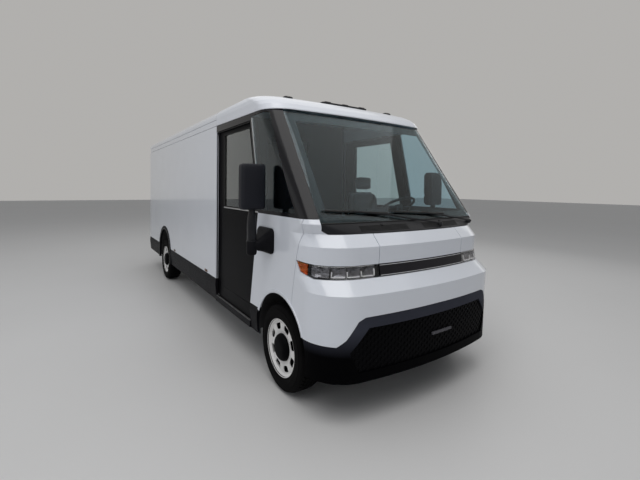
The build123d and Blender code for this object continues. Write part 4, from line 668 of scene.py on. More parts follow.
nozzles = Shape()
for y in (-0.38, 0.38):
    foot, normal = on_front(nose, y, 1.480)
    nozzles.lathe([(-0.002, 0.016), (0.006, 0.014), (0.010, 0.008), (0.011, 0.0)], foot, outward=normal,
        steps=20)
nozzles.show("washer_nozzles", smooth_trim)


def screen_ring(inset):
    """A ring on the windscreen's inner face, inset from its edge."""
    foot, head = SCREEN_FOOT + inset * 0.8, 2.500 - inset * 1.1
    corners = [(-0.952 + inset, foot), (-0.915 + inset, head), (0.915 - inset, head), (0.952 - inset, foot)]
    return front_line(surface("cab_glass"), corners + corners[:1], -0.0105, 22)[:-1]


# Black ceramic edge printed on the inside of the windscreen
Shape().grid([screen_ring(inset) for inset in (0.004, 0.085)], around=True).show("screen_ceramic_edge", frit,
    smooth=60)

# ---------------------------------------------------------------- sliding doors
DOOR_FACE_Y, DOOR_BACK_Y = 1.022, 0.982
OPENING_Y, STRIP_Y = 1.046, 1.0605
WINDOW = [(-1.460, 1.550), (-1.460, 2.400), (-0.715, 2.400), (-0.510, 1.550)]
OPENING = [(-1.660, 0.640), (-1.660, 2.452), (-0.640, 2.452), (-0.435, 1.538), (-0.600, 0.602)]


def side_path(outline, y, side, grow, steps):
    """Points round a side outline of (reach, z) points, at a distance y from the middle."""
    middle_x, middle_z = (sum(values) / len(outline) for values in zip(*outline))
    path = []
    for start, end in zip(outline, outline[1:] + outline[:1]):
        for x, z in run(start, end, steps)[:-1]:
            x += grow * (1 if x > middle_x else -1)
            z += grow * (1 if z > middle_z else -1)
            path.append((at(x), side * y, z))
    return path


for name, side in SIDES.items():
    body = f"sliding_door_{name}"
    seal = Shape()
    for y in (DOOR_FACE_Y + 0.0005, DOOR_BACK_Y - 0.0005):
        seal.sweep(side_path(WINDOW, y, side, -0.004, 8), rounded(0.004, 0.014, 0.0015), closed=True,
            up=(0, 1, 0))
    seal.show(f"door_window_seal_{name}", rubber, body)
    sill = Shape().side_plate((-1.480, -0.492), (1.530, 1.543), DOOR_FACE_Y, side, 0.0022, 0.004)
    sill.show(f"door_sill_strip_{name}", aluminium, body, bevel=0.0006)
    panel = Shape()
    for x_range, z_range in (((-1.600, -0.640), (1.455, 1.470)), ((-1.600, -0.700), (0.560, 0.575)),
            ((-1.600, -1.585), (0.560, 1.470))):
        panel.side_plate(x_range, z_range, DOOR_FACE_Y, side, 0.002, 0.004)
    panel.show(f"door_panel_beads_{name}", door_black, body, bevel=0.0006)
    handle = Shape().side_plate((-0.80, -0.66), (1.300, 1.400), DOOR_FACE_Y, side, 0.0015, 0.02)
    handle.side_plate((-0.785, -0.70), (1.365, 1.392), DOOR_FACE_Y + 0.0015, side, 0.001, 0.008)
    handle.side_plate((-1.50, -1.44), (1.16, 1.44), DOOR_BACK_Y, side, -0.006, 0.02)
    handle.show(f"door_handle_{name}", trim, body, bevel=0.0006)
    lock = Shape().lathe([(0.0, 0.012), (0.0018, 0.011), (0.0018, 0.003), (0.001, 0.0025), (0.001, 0.0)],
        (at(-0.685), side * (DOOR_FACE_Y + 0.0012), 1.325), outward=(0, side, 0), steps=24)
    lock.show(f"door_lock_{name}", chrome, body)
    rail = Shape().sweep(side_path(OPENING, OPENING_Y, side, -0.006, 6)[:-6], rounded(0.010, 0.012, 0.004),
        up=(0, 1, 0))
    rail.show(f"doorway_seal_{name}", rubber)
    strip = Shape().sweep([(at(-0.388), side * STRIP_Y, 1.585), (at(-0.598), side * STRIP_Y, 2.47)],
        rounded(0.004, 0.010, 0.0012), up=(0, 1, 0))
    strip.show(f"quarter_strip_{name}", aluminium, bevel=0.0005)
    tread = Shape()
    for k in range(9):
        y = side * (0.80 + 0.026 * k)
        tread.sweep([(at(-1.64), y, 0.432), (at(-0.62), y, 0.432)], rounded(0.008, 0.006, 0.002))
    tread.show(f"step_ribs_{name}", rubber)
    nosing = Shape().sweep([(at(reach), side * OPENING_Y, 0.4312) for reach in (-1.645, -0.615)],
        rounded(0.02, 0.003, 0.001))
    nosing.show(f"step_nosing_{name}", aluminium)

# ---------------------------------------------------------------- mirrors
MIRROR_X, MIRROR_Y = at(-0.200), (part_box("mirror_left")[0].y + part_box("mirror_left")[1].y) / 2
HEAD_FOOT, HEAD_TOP = 1.583, 1.988
ARM_FOOT = 1.3003
# Head rings: height, inset. Arm rings: height, width, depth, corner.
# Bracket rings: y, reach, z, width, height, corner.
HEAD_RINGS = ((HEAD_FOOT, 0.030), (HEAD_FOOT + 0.003, 0.018), (HEAD_FOOT + 0.010, 0.008),
    (HEAD_FOOT + 0.024, 0.002), (HEAD_FOOT + 0.06, 0.0), (HEAD_TOP - 0.06, 0.0), (HEAD_TOP - 0.022, 0.002),
    (HEAD_TOP - 0.009, 0.008), (HEAD_TOP - 0.002, 0.018), (HEAD_TOP, 0.030))
ARM_RINGS = ((ARM_FOOT, 0.074, 0.074, 0.026), (1.304, 0.080, 0.080, 0.030), (1.48, 0.076, 0.078, 0.030),
    (1.53, 0.066, 0.068, 0.028), (1.555, 0.056, 0.058, 0.026), (1.59, 0.056, 0.058, 0.026))
BRACKET_RINGS = ((1.0603, -0.247, 1.298, 0.322, 0.230, 0.050), (1.072, -0.247, 1.298, 0.326, 0.234, 0.052),
    (1.084, -0.246, 1.297, 0.312, 0.220, 0.055), (1.100, -0.240, 1.292, 0.262, 0.190, 0.055),
    (1.130, -0.225, 1.280, 0.190, 0.150, 0.050), (1.170, -0.208, 1.268, 0.130, 0.110, 0.042),
    (1.215, -0.200, 1.262, 0.084, 0.070, 0.030))
for name, side in SIDES.items():
    body = f"mirror_{name}"
    spot = (MIRROR_X, side * MIRROR_Y)
    head = Shape().tube([level(rounded(0.110 - 2 * inset, 0.230 - 2 * inset, max(0.006, 0.032 - inset), 6),
        spot, z) for z, inset in HEAD_RINGS])
    head.show(f"mirror_head_{name}", mirror_shell, body, smooth=50, replaces=[f"mirror_{name}"])
    arm = Shape().tube([level(rounded(wide, deep, corner, 5), spot, z) for z, wide, deep,
        corner in ARM_RINGS])
    arm.lathe([(0.0, 0.047), (0.010, 0.047), (0.013, 0.043), (0.013, 0.0)], (*spot, ARM_FOOT),
        outward=(0, 0, 1), steps=40)
    arm.show(f"mirror_arm_{name}", smooth_trim, body, smooth=40)
    bezel, panes = Shape(), Shape()
    for z, height in ((1.840, 0.250), (1.652, 0.090)):
        for shape, grow, front, back in ((bezel, 0.012, 0.002, -0.006), (panes, 0.0, -0.004, -0.0075)):
            outline = rounded(0.186 + grow, height + grow, 0.018 + grow / 2, 6)
            shape.tube([[(MIRROR_X - 0.055 + x, side * MIRROR_Y + u, z + v) for u, v in scaled(outline, s)]
                for x, s in ((front, 1.0), (back, 1.0), (back - 0.0005, 0.97))])
    bezel.show(f"mirror_bezel_{name}", smooth_trim, body)
    panes.show(f"mirror_panes_{name}", mirror_pane, body)
    bracket = Shape().tube([[(at(reach) + u, side * y, z + v) for u, v in rounded(wide, tall, corner, 6)]
        for y, reach, z, wide, tall, corner in BRACKET_RINGS])
    bracket.lathe([(0.0, 0.0), (0.0, 0.034), (0.008, 0.043), (0.022, 0.046), (0.1145, 0.046), (0.1195, 0.043),
        (0.1195, 0.0)], (*spot, 1.180), outward=(0, 0, 1), steps=40)
    bracket.show(f"mirror_bracket_{name}", trim, smooth=50, replaces=["mirror_brackets"])

# ---------------------------------------------------------------- roof
cap_skin = surface("roof_cap", "roof_panel")
roof_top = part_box("marker_lamps")[1].z
MARKER_REACH = -0.470


def on_roof(x, y, proud=0.0):
    return meet(cap_skin, (x, y, OVER_ROOF), DOWN, proud)[0]


lens_set, pods = Shape(), Shape()
for y, reach in ((0, MARKER_REACH), (0.240, MARKER_REACH), (-0.240, MARKER_REACH), (0.700, -0.520),
        (-0.700, -0.520)):
    ground = on_roof(at(reach), y).z
    foot = rounded(0.076, 0.104, 0.018)
    rise = roof_top - ground
    pods.tube([level(scaled(foot, s), (at(reach), y), z) for z, s in ((ground - 0.004, 1.0),
        (ground + rise * 0.35, 0.98), (roof_top - 0.006, 0.90), (roof_top, 0.72))])
    lens_set.tube([level(scaled(foot, s), (at(reach) + forward, y), z) for z, s,
        forward in ((ground + 0.002, 0.86, 0.004), (ground + rise * 0.5, 0.84, 0.004),
        (roof_top - 0.003, 0.76, 0.0025))])
pods.show("marker_pods", smooth_trim, bevel=0.0015, replaces=["marker_lamps"])
lens_set.show("marker_lenses", amber)
strip = Shape().sweep([on_roof(at(MARKER_REACH), y) + Vector((0, 0, 0.004))
    for y in spaced(-0.305, 0.305, 15)], rounded(0.060, 0.018, 0.006, 3))
strip.show("marker_strip", smooth_trim, smooth=40)

ROOF_EDGE_Z, ROOF_DIP = 2.615, 0.002
sheet = nodes["roof_panel"].data.copy()
for vertex in sheet.vertices:
    vertex.co.z -= ROOF_DIP * max(0.0, vertex.co.z - ROOF_EDGE_Z) / (roof_top - ROOF_EDGE_Z)
show_mesh(sheet, "roof_sheet", paint, smooth=30, replaces=["roof_panel"])

roof_seams = Shape()
for x in spaced(REAR + 0.25, at(-1.70) - 0.15, 9):
    roof_seams.sweep([on_roof(x, y, -0.0016) for y in spaced(-0.985, 0.985, 25)],
        [(-0.020, -0.002), (-0.016, 0.0014), (0.016, 0.0014), (0.020, -0.002)])
roof_seams.show("roof_bow_seams", cap_paint)
rivets = Shape()
for side in SIDES.values():
    for x in spaced(REAR + 0.05, at(-1.72), 60):
        for z in (2.548, 2.594):
            rivets.lathe([(0.0, 0.0045), (0.0014, 0.0035), (0.002, 0.0)], (x, side * HALF_WIDTH, z),
                outward=(0, side, 0), steps=8)
rivets.show("rail_rivets", paint)

# ---------------------------------------------------------------- arch lips and body side
def arch_path(axle, rise, radius, y, start, end):
    turns = [math.radians(a) for a in spaced(start, end, 48)]
    return [(axle + radius * math.cos(turn), y, TYRE_RADIUS + rise + radius * math.sin(turn))
        for turn in turns]


for name, side in SIDES.items():
    lip = Shape().sweep(arch_path(FRONT_AXLE, 0.054, 0.449, side * (HALF_WIDTH - 0.002), 157, 24),
        [(-0.003, 0.0), (0.0, 0.007), (0.012, 0.006), (0.026, 0.0015), (0.026, 0.0), (0.0, -0.01)],
        up=(0, side, 0))
    lip.show(f"front_arch_lip_{name}", paint, smooth=60)
    band = Shape().sweep(arch_path(REAR_AXLE, 0.123, 0.468, side * (HALF_WIDTH + 0.0082), 197, -17),
        rounded(0.018, 0.0026, 0.001), up=(0, side, 0))
    band.show(f"rear_arch_band_{name}", smooth_trim, smooth=60)
    if name == "left":
        flap = Shape().side_plate((-2.34, -2.12), (1.02, 1.24), HALF_WIDTH, side, 0.0012, 0.03)
        flap.show("charge_flap", paint, bevel=0.0004)
    lamps = Shape()
    for reach in (-2.1, -3.9):
        lamps.side_plate((reach, reach + 0.10), (0.650, 0.680), HALF_WIDTH, side, 0.007, 0.008)
    lamps.show(f"side_markers_{name}", amber, bevel=0.002)

# ---------------------------------------------------------------- rear end
DOOR_X = REAR + 0.015
STEP_REAR = REAR - 0.1118
BACKWARD = (-1, 0, 0)
LAMP_FOOT, LAMP_TALL = 0.950, 0.420
REAR_LENSES = (("tail", 0.962, 1.150, red), ("turn", 1.156, 1.250, amber), ("reverse", 1.256, 1.358, clear))
for name, side in SIDES.items():
    low_y, high_y = sorted((side * 0.911, side * 0.999))
    case = Shape().rear_plate((low_y - 0.002, high_y + 0.002), (LAMP_FOOT, LAMP_FOOT + LAMP_TALL),
        REAR + 0.02, 0.024, 0.012)
    case.show(f"tail_lamp_case_{name}", smooth_trim, bevel=0.002)
    for part, z0, z1, look in REAR_LENSES:
        outline = rounded(high_y - low_y - 0.012, z1 - z0, 0.012)
        lens = Shape().tube([[(REAR - w, (low_y + high_y) / 2 + u, (z0 + z1) / 2 + v) for u,
            v in scaled(outline, s)] for w, s in ((0.002, 1.0), (0.009, 1.0), (0.0115, 0.93), (0.012, 0.6))])
        lens.show(f"rear_{part}_lens_{name}", look, replaces=["tail_lamps"], smooth=50)
    rail = ((0.002, 1.50), (0.045, 1.52), (0.050, 1.55), (0.050, 1.95), (0.045, 1.98), (0.002, 2.00))
    grab = Shape().sweep([(REAR - out, side * 0.905, z) for out, z in rail], circle(0.013, 14), up=(0, 1, 0))
    for z in (1.50, 2.00):
        grab.lathe([(0.0, 0.0), (0.0, 0.026), (0.005, 0.026), (0.007, 0.022), (0.007, 0.0)],
            (REAR, side * 0.905, z), outward=BACKWARD, steps=24)
    grab.show(f"rear_grab_handle_{name}", yellow, smooth=50)
    guide = Shape().rear_plate((side * 0.868, side * 0.882), (0.765, 2.476), DOOR_X - 0.002, 0.010, 0.003)
    guide.show(f"rear_door_guide_{name}", aluminium, bevel=0.001)
    reflector = Shape().rear_plate((side * 0.89, side * 0.98), (0.700, 0.745), REAR, 0.005, 0.006)
    reflector.show(f"rear_reflector_{name}", red, bevel=0.001)
    block = Shape().rear_plate((side * 0.52, side * 0.66), (0.440, 0.545), REAR - 0.098, 0.0215, 0.012)
    block.show(f"dock_buffer_{name}", rubber, bevel=0.003)

hinges = Shape()
for row in range(1, 10):
    z = 0.760 + row * 0.172
    for y in (-0.72, 0.0, 0.72):
        hinges.rear_plate((y - 0.03, y + 0.03), (z - 0.022, z + 0.022), DOOR_X, 0.003, 0.004)
hinges.show("roll_door_hinges", galvanised, bevel=0.0008)
pull = ((0.004, -0.10), (0.028, -0.09), (0.030, 0.0), (0.028, 0.09), (0.004, 0.10))
latch = Shape().rear_plate((-0.15, 0.15), (0.820, 0.880), DOOR_X, 0.004, 0.02)
latch.sweep([(DOOR_X - out, y, 0.85) for out, y in pull], rounded(0.018, 0.008, 0.003))
latch.rear_plate((-0.035, 0.035), (0.890, 1.010), DOOR_X, 0.012, 0.012)
latch.lathe([(0.012, 0.014), (0.018, 0.013), (0.019, 0.004), (0.016, 0.003), (0.016, 0.0)],
    (DOOR_X, 0, 0.965), outward=BACKWARD, steps=24)
latch.show("roll_door_latch", galvanised, bevel=0.0012)
Shape().rear_plate((-0.866, 0.866), (0.762, 0.784), DOOR_X, 0.006, 0.004).show("roll_door_seal", rubber,
    bevel=0.001)
top_lamps = Shape()
for y in (-0.90, -0.24, 0.0, 0.24, 0.90):
    top_lamps.rear_plate((y - 0.045, y + 0.045), (2.545, 2.575), REAR, 0.010, 0.008)
top_lamps.show("rear_top_lamps", red, bevel=0.002)
camera_box = Shape().rear_plate((-0.05, 0.05), (2.492, 2.528), REAR, 0.022, 0.012)
camera_box.lathe([(0.022, 0.012), (0.027, 0.011), (0.027, 0.0)], (REAR, 0, 2.51), outward=BACKWARD, steps=24)
camera_box.show("rear_camera", smooth_trim, bevel=0.002)
number = Shape().rear_plate((-0.155, 0.155), (0.428, 0.552), STEP_REAR, 0.0018, 0.012)
number.show("number_plate_blank", plate_white, bevel=0.0006)
bolts = Shape()
for y in (-0.09, 0.09):
    bolts.lathe([(0.0, 0.0065), (0.003, 0.0065), (0.0045, 0.004), (0.0045, 0.0)],
        (STEP_REAR - 0.0016, y, 0.490), outward=BACKWARD, steps=6)
bolts.show("number_plate_screws", galvanised)
tread = Shape()
for k, half in enumerate((0.99, 0.99, 0.99, 0.99, 0.97, 0.945)):
    x = REAR - 0.018 - 0.017 * k
    tread.sweep([(x, -half, 0.5605), (x, half, 0.5605)], rounded(0.006, 0.005, 0.0015))
for y in spaced(-0.96, 0.96, 64):
    tread.sweep([(REAR - 0.012, y, 0.5603), (REAR - 0.100, y, 0.5603)], rounded(0.003, 0.003, 0.001))
tread.show("rear_step_tread", galvanised)

# ---------------------------------------------------------------- cab inside: padded seats
SEAT_X, SEAT_Y = at(-0.680), 0.480
CUSHION_TOP = 1.110
VOXEL = 0.012
FRAMES = 20
SEAM_WIDTH, SEAM_DEPTH = 0.0065, 0.008


def turned(along, centre):
    """Frame of a pad: u across the van, v along, w out of its face."""
    across, along = Vector((0, 1, 0)), Vector(along).normalized()
    out = across.cross(along)
    return Matrix(((across.x, along.x, out.x, centre[0]), (across.y, along.y, out.y, centre[1]),
        (across.z, along.z, out.z, centre[2]), (0, 0, 0, 1)))


def remeshed(mesh):
    """The same closed form in even faces."""
    work = add_object("even_work", mesh)
    even = work.modifiers.new("even", "REMESH")
    even.mode = "VOXEL"
    even.voxel_size = VOXEL
    return applied(work)


def puff_up(mesh, cap, floor):
    """Cloth under pressure: each point moves out by up to cap, and the resting face stays flat."""
    start = [v.co.copy() for v in mesh.vertices]
    work = add_object("cloth_work", mesh)
    cloth = work.modifiers.new("cloth", "CLOTH")
    cloth.settings.quality = 5
    cloth.settings.use_pressure = True
    cloth.settings.uniform_pressure_force = 4.0
    cloth.settings.effector_weights.gravity = 0.0
    cloth.point_cache.frame_start = 1
    cloth.point_cache.frame_end = FRAMES
    for frame_number in range(1, FRAMES + 1):
        scene.frame_set(frame_number)
    final = work.evaluated_get(bpy.context.evaluated_depsgraph_get())
    ends = [v.co.copy() for v in final.data.vertices]
    bpy.data.objects.remove(work)
    scene.frame_set(1)
    for vertex, before, after in zip(mesh.vertices, start, ends):
        move = after - before
        if move.length > cap:
            move *= cap / move.length
        if before.z >= floor:
            vertex.co = before + move
        else:
            vertex.co = before


def pad(name, size, frame_of, puff, seams, panel, replaces=(), rise=0.0):
    """A crowned cushion. seams are (axis, place) sewn channels; panel is half the middle cloth's width."""
    across, along, deep = (value / 2 for value in size)
    pull = 0.035
    work = bmesh.new()
    bmesh.ops.create_cube(work, size=2.0)
    bmesh.ops.subdivide_edges(work, edges=work.edges[:], cuts=24, use_grid_fill=True)
    for vertex in work.verts:
        x, y, z = vertex.co
        reach = (abs(x) ** 6 + abs(y) ** 6 + abs(z) ** 4) ** (1 / 5)
        x, y, z = x / reach, y / reach, z / reach
        x *= 1 - pull * (1 - y * y)
        y *= 1 - pull * (1 - x * x)
        vertex.co = (x * across, y * along, z * deep)
    mesh = bpy.data.meshes.new(name)
    work.to_mesh(mesh)
    work.free()
    mesh = remeshed(mesh)
    puff_up(mesh, puff, -0.35 * deep)
    work = bmesh.new()
    work.from_mesh(mesh)
    bmesh.ops.subdivide_edges(work, edges=work.edges[:], cuts=1, use_grid_fill=True)
    bmesh.ops.smooth_vert(work, verts=work.verts[:], factor=0.5, use_axis_x=True, use_axis_y=True,
        use_axis_z=True)
    for vertex in work.verts:
        u, v, w = vertex.co
        if w <= 0:
            continue
        sink = 0.0
        for axis, spot in seams:
            off = (u if axis == "u" else v) - spot
            if axis == "u" or abs(u) < panel:
                sink = max(sink, math.exp(-(off / SEAM_WIDTH) ** 2))
        swell = rise * min(1.0, max(0.0, (abs(u) - panel) / 0.04))
        vertex.co.z += min(1.0, w / deep) * (swell - SEAM_DEPTH * sink)
    for face in work.faces:
        middle = face.calc_center_median()
        face.material_index = int(abs(middle.x) > panel or middle.z < 0.1 * deep)
    mesh = bpy.data.meshes.new(name)
    work.to_mesh(mesh)
    work.free()
    mesh.transform(frame_of)
    obj = show_mesh(mesh, name, fabric, smooth=80, replaces=replaces)
    mesh.materials.append(fabric_side)
    return obj


def piping(name, obj, frame_of, half, start, end, steps):
    """Cord sewn over the two seams beside the middle cloth, laid on the pad's face."""
    tree = mesh_tree(obj.data)
    out = (frame_of.to_3x3() @ Vector((0, 0, 1))).normalized()
    shape = Shape()
    for side in (-1, 1):
        path = []
        for u, v in run((side * half, start), (side * half, end), steps):
            hit, normal = tree.ray_cast(frame_of @ Vector((u, v, 0.3)), -out)[:2]
            if hit is not None:
                path.append(hit + normal * 0.0006)
        shape.sweep(path, circle(0.0028, 8), up=out)
    shape.show(name, fabric_side, smooth=70)


def channels(half, *places):
    """Seams at both edges of the middle cloth, and across it at some places."""
    return [("u", -half), ("u", half)] + [("v", place) for place in places]


seat_frame = turned(BACKWARD, (SEAT_X + 0.25, SEAT_Y, CUSHION_TOP - 0.075))
cushion = pad("seat_cushion", (0.455, 0.475, 0.118), seat_frame, 0.012,
    channels(0.150, -0.12, -0.04, 0.04, 0.12), 0.150, replaces=["seats"], rise=0.010)
piping("seat_cushion_piping", cushion, seat_frame, 0.150, -0.19, 0.20, 30)
LEAN = math.atan2(0.055, 0.64)
back_frame = turned((-math.sin(LEAN), 0, math.cos(LEAN)), (SEAT_X + 0.028, SEAT_Y, CUSHION_TOP + 0.330))
backrest = pad("seat_back_cushion", (0.425, 0.600, 0.098), back_frame, 0.010,
    channels(0.140, -0.16, -0.06, 0.04, 0.14), 0.140, rise=0.012)
piping("seat_back_piping", backrest, back_frame, 0.140, -0.25, 0.25, 36)
UPRIGHT = (0, 0, 1)
JUMP_X, JUMP_Y = at(-1.720), -0.505
pad("seat_head_cushion", (0.235, 0.150, 0.074), turned(UPRIGHT, (SEAT_X, SEAT_Y, CUSHION_TOP + 0.735)), 0.006,
    [("v", 0.0)], 0.095)
pad("jump_seat_cushion", (0.320, 0.380, 0.052), turned(UPRIGHT, (JUMP_X + 0.047, JUMP_Y, FLOOR + 0.650)),
    0.005, [("v", -0.07), ("v", 0.07)], 0.125)
pad("jump_seat_back_cushion", (0.320, 0.400, 0.044), turned(UPRIGHT, (JUMP_X + 0.030, JUMP_Y, FLOOR + 1.080)),
    0.004, [("v", -0.08), ("v", 0.08)], 0.125)

# ---------------------------------------------------------------- cab inside: seat hardware
BASE_X = SEAT_X + 0.205


def by_seat(ahead, left, above):
    """A point measured from the middle of the driver's backrest foot, at the cushion's top."""
    return (SEAT_X + ahead, SEAT_Y + left, CUSHION_TOP + above)


bellows = Shape().tube([level(rounded(0.268 + wide, 0.280 + wide, 0.05, 5), (BASE_X, SEAT_Y),
    FLOOR + 0.076 + 0.0120 * k) for k, wide in enumerate([0.012, 0.0] * 5 + [0.012])])
bellows.show("seat_bellows", rubber, smooth=25, slot="seat_fabric")
slides = Shape()
CHANNEL = [(-0.018, 0.0), (0.018, 0.0), (0.018, 0.030), (0.010, 0.030), (0.010, 0.010), (-0.010, 0.010),
    (-0.010, 0.030), (-0.018, 0.030)]
for side in (-1, 1):
    for foot, start, end in ((0.002, 0.03, 0.345), (0.046, 0.05, 0.335)):
        slides.prism([(SEAT_Y + side * 0.135 + a, FLOOR + foot + b) for a, b in CHANNEL], "X", SEAT_X + start,
            SEAT_X + end)
slides.prism([(BASE_X + a, SEAT_Y + b) for a, b in rounded(0.28, 0.30, 0.02)], "Z", FLOOR + 0.062,
    FLOOR + 0.076)
slides.prism([(SEAT_X + 0.235 + a, SEAT_Y + b) for a, b in rounded(0.42, 0.40, 0.03)], "Z",
    CUSHION_TOP - 0.150, CUSHION_TOP - 0.136)
slides.show("seat_slides", chassis, bevel=0.0015)
rows = []
for v in spaced(-0.30, 0.30, 17):
    half = 0.425 / 2 - max(0.0, abs(v) - 0.24) * 0.6
    rows.append([back_frame @ Vector((u * half, v, -0.053 - 0.012 * (1 - u * u))) for u in spaced(-1, 1, 17)])
Shape().grid(rows).show("seat_back_shell", inner_plastic, thick=0.004, smooth=60)
posts = Shape()
for side in (-1, 1):
    posts.sweep([by_seat(0.002, side * 0.055, 0.60 + 0.012 * k) for k in range(8)], circle(0.006, 14),
        up=(1, 0, 0))
posts.show("headrest_posts", chrome, smooth=60)
levers = Shape().sweep([by_seat(0.10, 0.232, -0.075), by_seat(0.20, 0.237, -0.070),
    by_seat(0.27, 0.237, -0.060)], rounded(0.008, 0.022, 0.003))
levers.lathe([(0.218, 0.0), (0.218, 0.028), (0.238, 0.030), (0.240, 0.026), (0.240, 0.0)],
    by_seat(0.03, 0, -0.02), steps=32)
levers.show("seat_levers", inner_plastic, bevel=0.001, smooth=40)

# ---------------------------------------------------------------- cab inside: steering wheel
TILT = math.radians(30)
wheel_axis = Vector((-math.sin(TILT), 0, math.cos(TILT)))
wheel_up = Vector((math.cos(TILT), 0, math.sin(TILT)))
wheel_side = Vector((0, -1, 0))
wheel_centre = Vector((at(-0.100), SEAT_Y, 1.585))
GRIP_RADIUS = 0.200


def on_wheel(side_way, up_way, out_way):
    return wheel_centre + wheel_side * side_way + wheel_up * up_way + wheel_axis * out_way


def thumb_swell(turn):
    """How much thicker the grip is at a turn, for the thumbs at ten to two."""
    gaps = [(turn - math.radians(mark) + math.pi) % (2 * math.pi) - math.pi for mark in (35, 145)]
    return 1.0 + 0.10 * sum(math.exp(-(gap / 0.16) ** 2) for gap in gaps)


rows = []
for turn in (2 * math.pi * k / 96 for k in range(96)):
    rows.append([on_wheel((GRIP_RADIUS + u) * math.cos(turn), (GRIP_RADIUS + u) * math.sin(turn), v) for u,
        v in circle(0.0128 * thumb_swell(turn), 16)])
Shape().grid(rows, around=True, along=True).show("steering_grip", rubber, "steering_wheel", smooth=60,
    replaces=["steering_wheel"], slot="inner_grey")
spokes = Shape()
for turn in (0.0, math.pi, 1.5 * math.pi):
    path = [on_wheel(r * math.cos(turn), r * math.sin(turn), -0.020 + 0.012 * (r / GRIP_RADIUS) ** 2)
        for r in (0.045, 0.08, 0.12, 0.16, 0.196)]
    spokes.sweep(path, rounded(0.042, 0.013, 0.005), up=wheel_axis)
spokes.show("steering_spokes", inner_plastic, "steering_wheel", bevel=0.0008, smooth=50)
HUB_RINGS = ((-0.055, 0.80), (-0.030, 0.90), (-0.010, 0.98), (0.0, 0.96), (0.0, 0.86), (0.0, 0.6),
    (0.0, 0.25))
hub = Shape().tube([[on_wheel(u, v, out) for u, v in scaled(rounded(0.115, 0.105, 0.03, 8), size)] for out,
    size in HUB_RINGS])
hub.show("steering_hub_pad", fabric_side, "steering_wheel", smooth=45, slot="inner_grey")
COLUMN_RINGS = ((-0.070, 0.096, 0.090), (-0.085, 0.112, 0.104), (-0.160, 0.118, 0.110),
    (-0.250, 0.104, 0.100), (-0.320, 0.090, 0.090))
column = Shape().tube([[on_wheel(u, v, out) for u, v in rounded(wide, tall, 0.022, 6)] for out, wide,
    tall in COLUMN_RINGS])
for side in (-1, 1):
    column.sweep([on_wheel(side * 0.050, 0.006, -0.095), on_wheel(side * 0.110, 0.012, -0.090),
        on_wheel(side * 0.165, 0.020, -0.082)], rounded(0.017, 0.013, 0.004), up=wheel_axis)
column.show("steering_column_cover", inner_plastic, bevel=0.001, smooth=50)

# ---------------------------------------------------------------- cab inside: dash and pedals
dash_tree = surface("dashboard")
GAUGES_Z, DISPLAY_Z = 1.462, 1.495


def on_dash(y, z):
    """Point on the dash's rear face at a height."""
    return meet(dash_tree, (at(-0.6), y, z), (1, 0, 0))[0]


rows = []
for share in spaced(0, 1, 15):
    x = at(0.150) + 0.19 * share
    rows.append([(x, SEAT_Y + 0.168 * math.cos(turn) * (1 - 0.08 * share),
        GAUGES_Z + (0.092 - 0.03 * share) * math.sin(turn) ** 0.7) for turn in (math.pi * j / 20
        for j in range(21))])
Shape().grid(rows).show("gauge_hood", inner_plastic, thick=0.005, smooth=60)
displays = Shape().prism([(SEAT_Y + u, GAUGES_Z + 0.035 + v) for u, v in rounded(0.270, 0.090, 0.010)], "X",
    at(0.190), at(0.196))
displays.prism([(u, DISPLAY_Z + v) for u, v in rounded(0.260, 0.165, 0.012)], "X", at(0.070), at(0.084))
displays.show("dash_displays", screen_face, bevel=0.0012, smooth=40)
mount = Shape().prism([(u, DISPLAY_Z + v) for u, v in rounded(0.280, 0.185, 0.018)], "X", at(0.0845),
    at(0.100))
mount.sweep([(at(0.098), 0, DISPLAY_Z - 0.035), (at(0.125), 0, DISPLAY_Z - 0.055),
    (at(0.160), 0, DISPLAY_Z - 0.050)], rounded(0.090, 0.030, 0.008))
mount.show("display_bezel", inner_plastic, bevel=0.0015, smooth=40)
vents, blades = Shape(), Shape()
for y in (-0.800, -0.300, 0.230, 0.800):
    low, high = on_dash(y, 1.335), on_dash(y, 1.385)
    face = (high - low).normalized()
    out = Vector((0, 1, 0)).cross(face)
    if out.x > 0:
        out = -out

    def on_vent(u, v, w):
        return (low + high) / 2 + Vector((0, u, 0)) + face * v + out * w

    ring, inner = rounded(0.150, 0.062, 0.014, 5), rounded(0.132, 0.046, 0.010, 5)
    vents.grid([[on_vent(u, v, w) for u, v in loop] for loop, w in ((ring, -0.002), (ring, 0.007),
        (inner, 0.007), (inner, -0.001))], around=True)
    for k in range(4):
        blades.sweep([on_vent(u, -0.016 + 0.0107 * k, 0.002) for u in (-0.064, 0.0, 0.064)],
            rounded(0.010, 0.0022, 0.0008), up=face)
vents.show("dash_vent_frames", inner_plastic, bevel=0.0008, smooth=40)
blades.show("dash_vent_blades", trim, smooth=40, slot="inner_grey")
tray = Shape()
for y_low, y_high in ((-0.72, -0.38), (0.30, 0.66)):
    corners = [(y_low, 1.160), (y_high, 1.160), (y_high, 1.290), (y_low, 1.290), (y_low, 1.160)]
    edge = [point for start, end, steps in zip(corners, corners[1:], (8, 6, 8, 6))
        for point in run(start, end, steps)[:-1]]
    tray.sweep([on_dash(y, z) + Vector((-0.0012, 0, 0)) for y, z in edge], circle(0.0022, 8), closed=True,
        up=(-1, 0, 0.1))
tray.show("glovebox_seams", rubber, smooth=60, slot="inner_grey")
pedals = Shape()
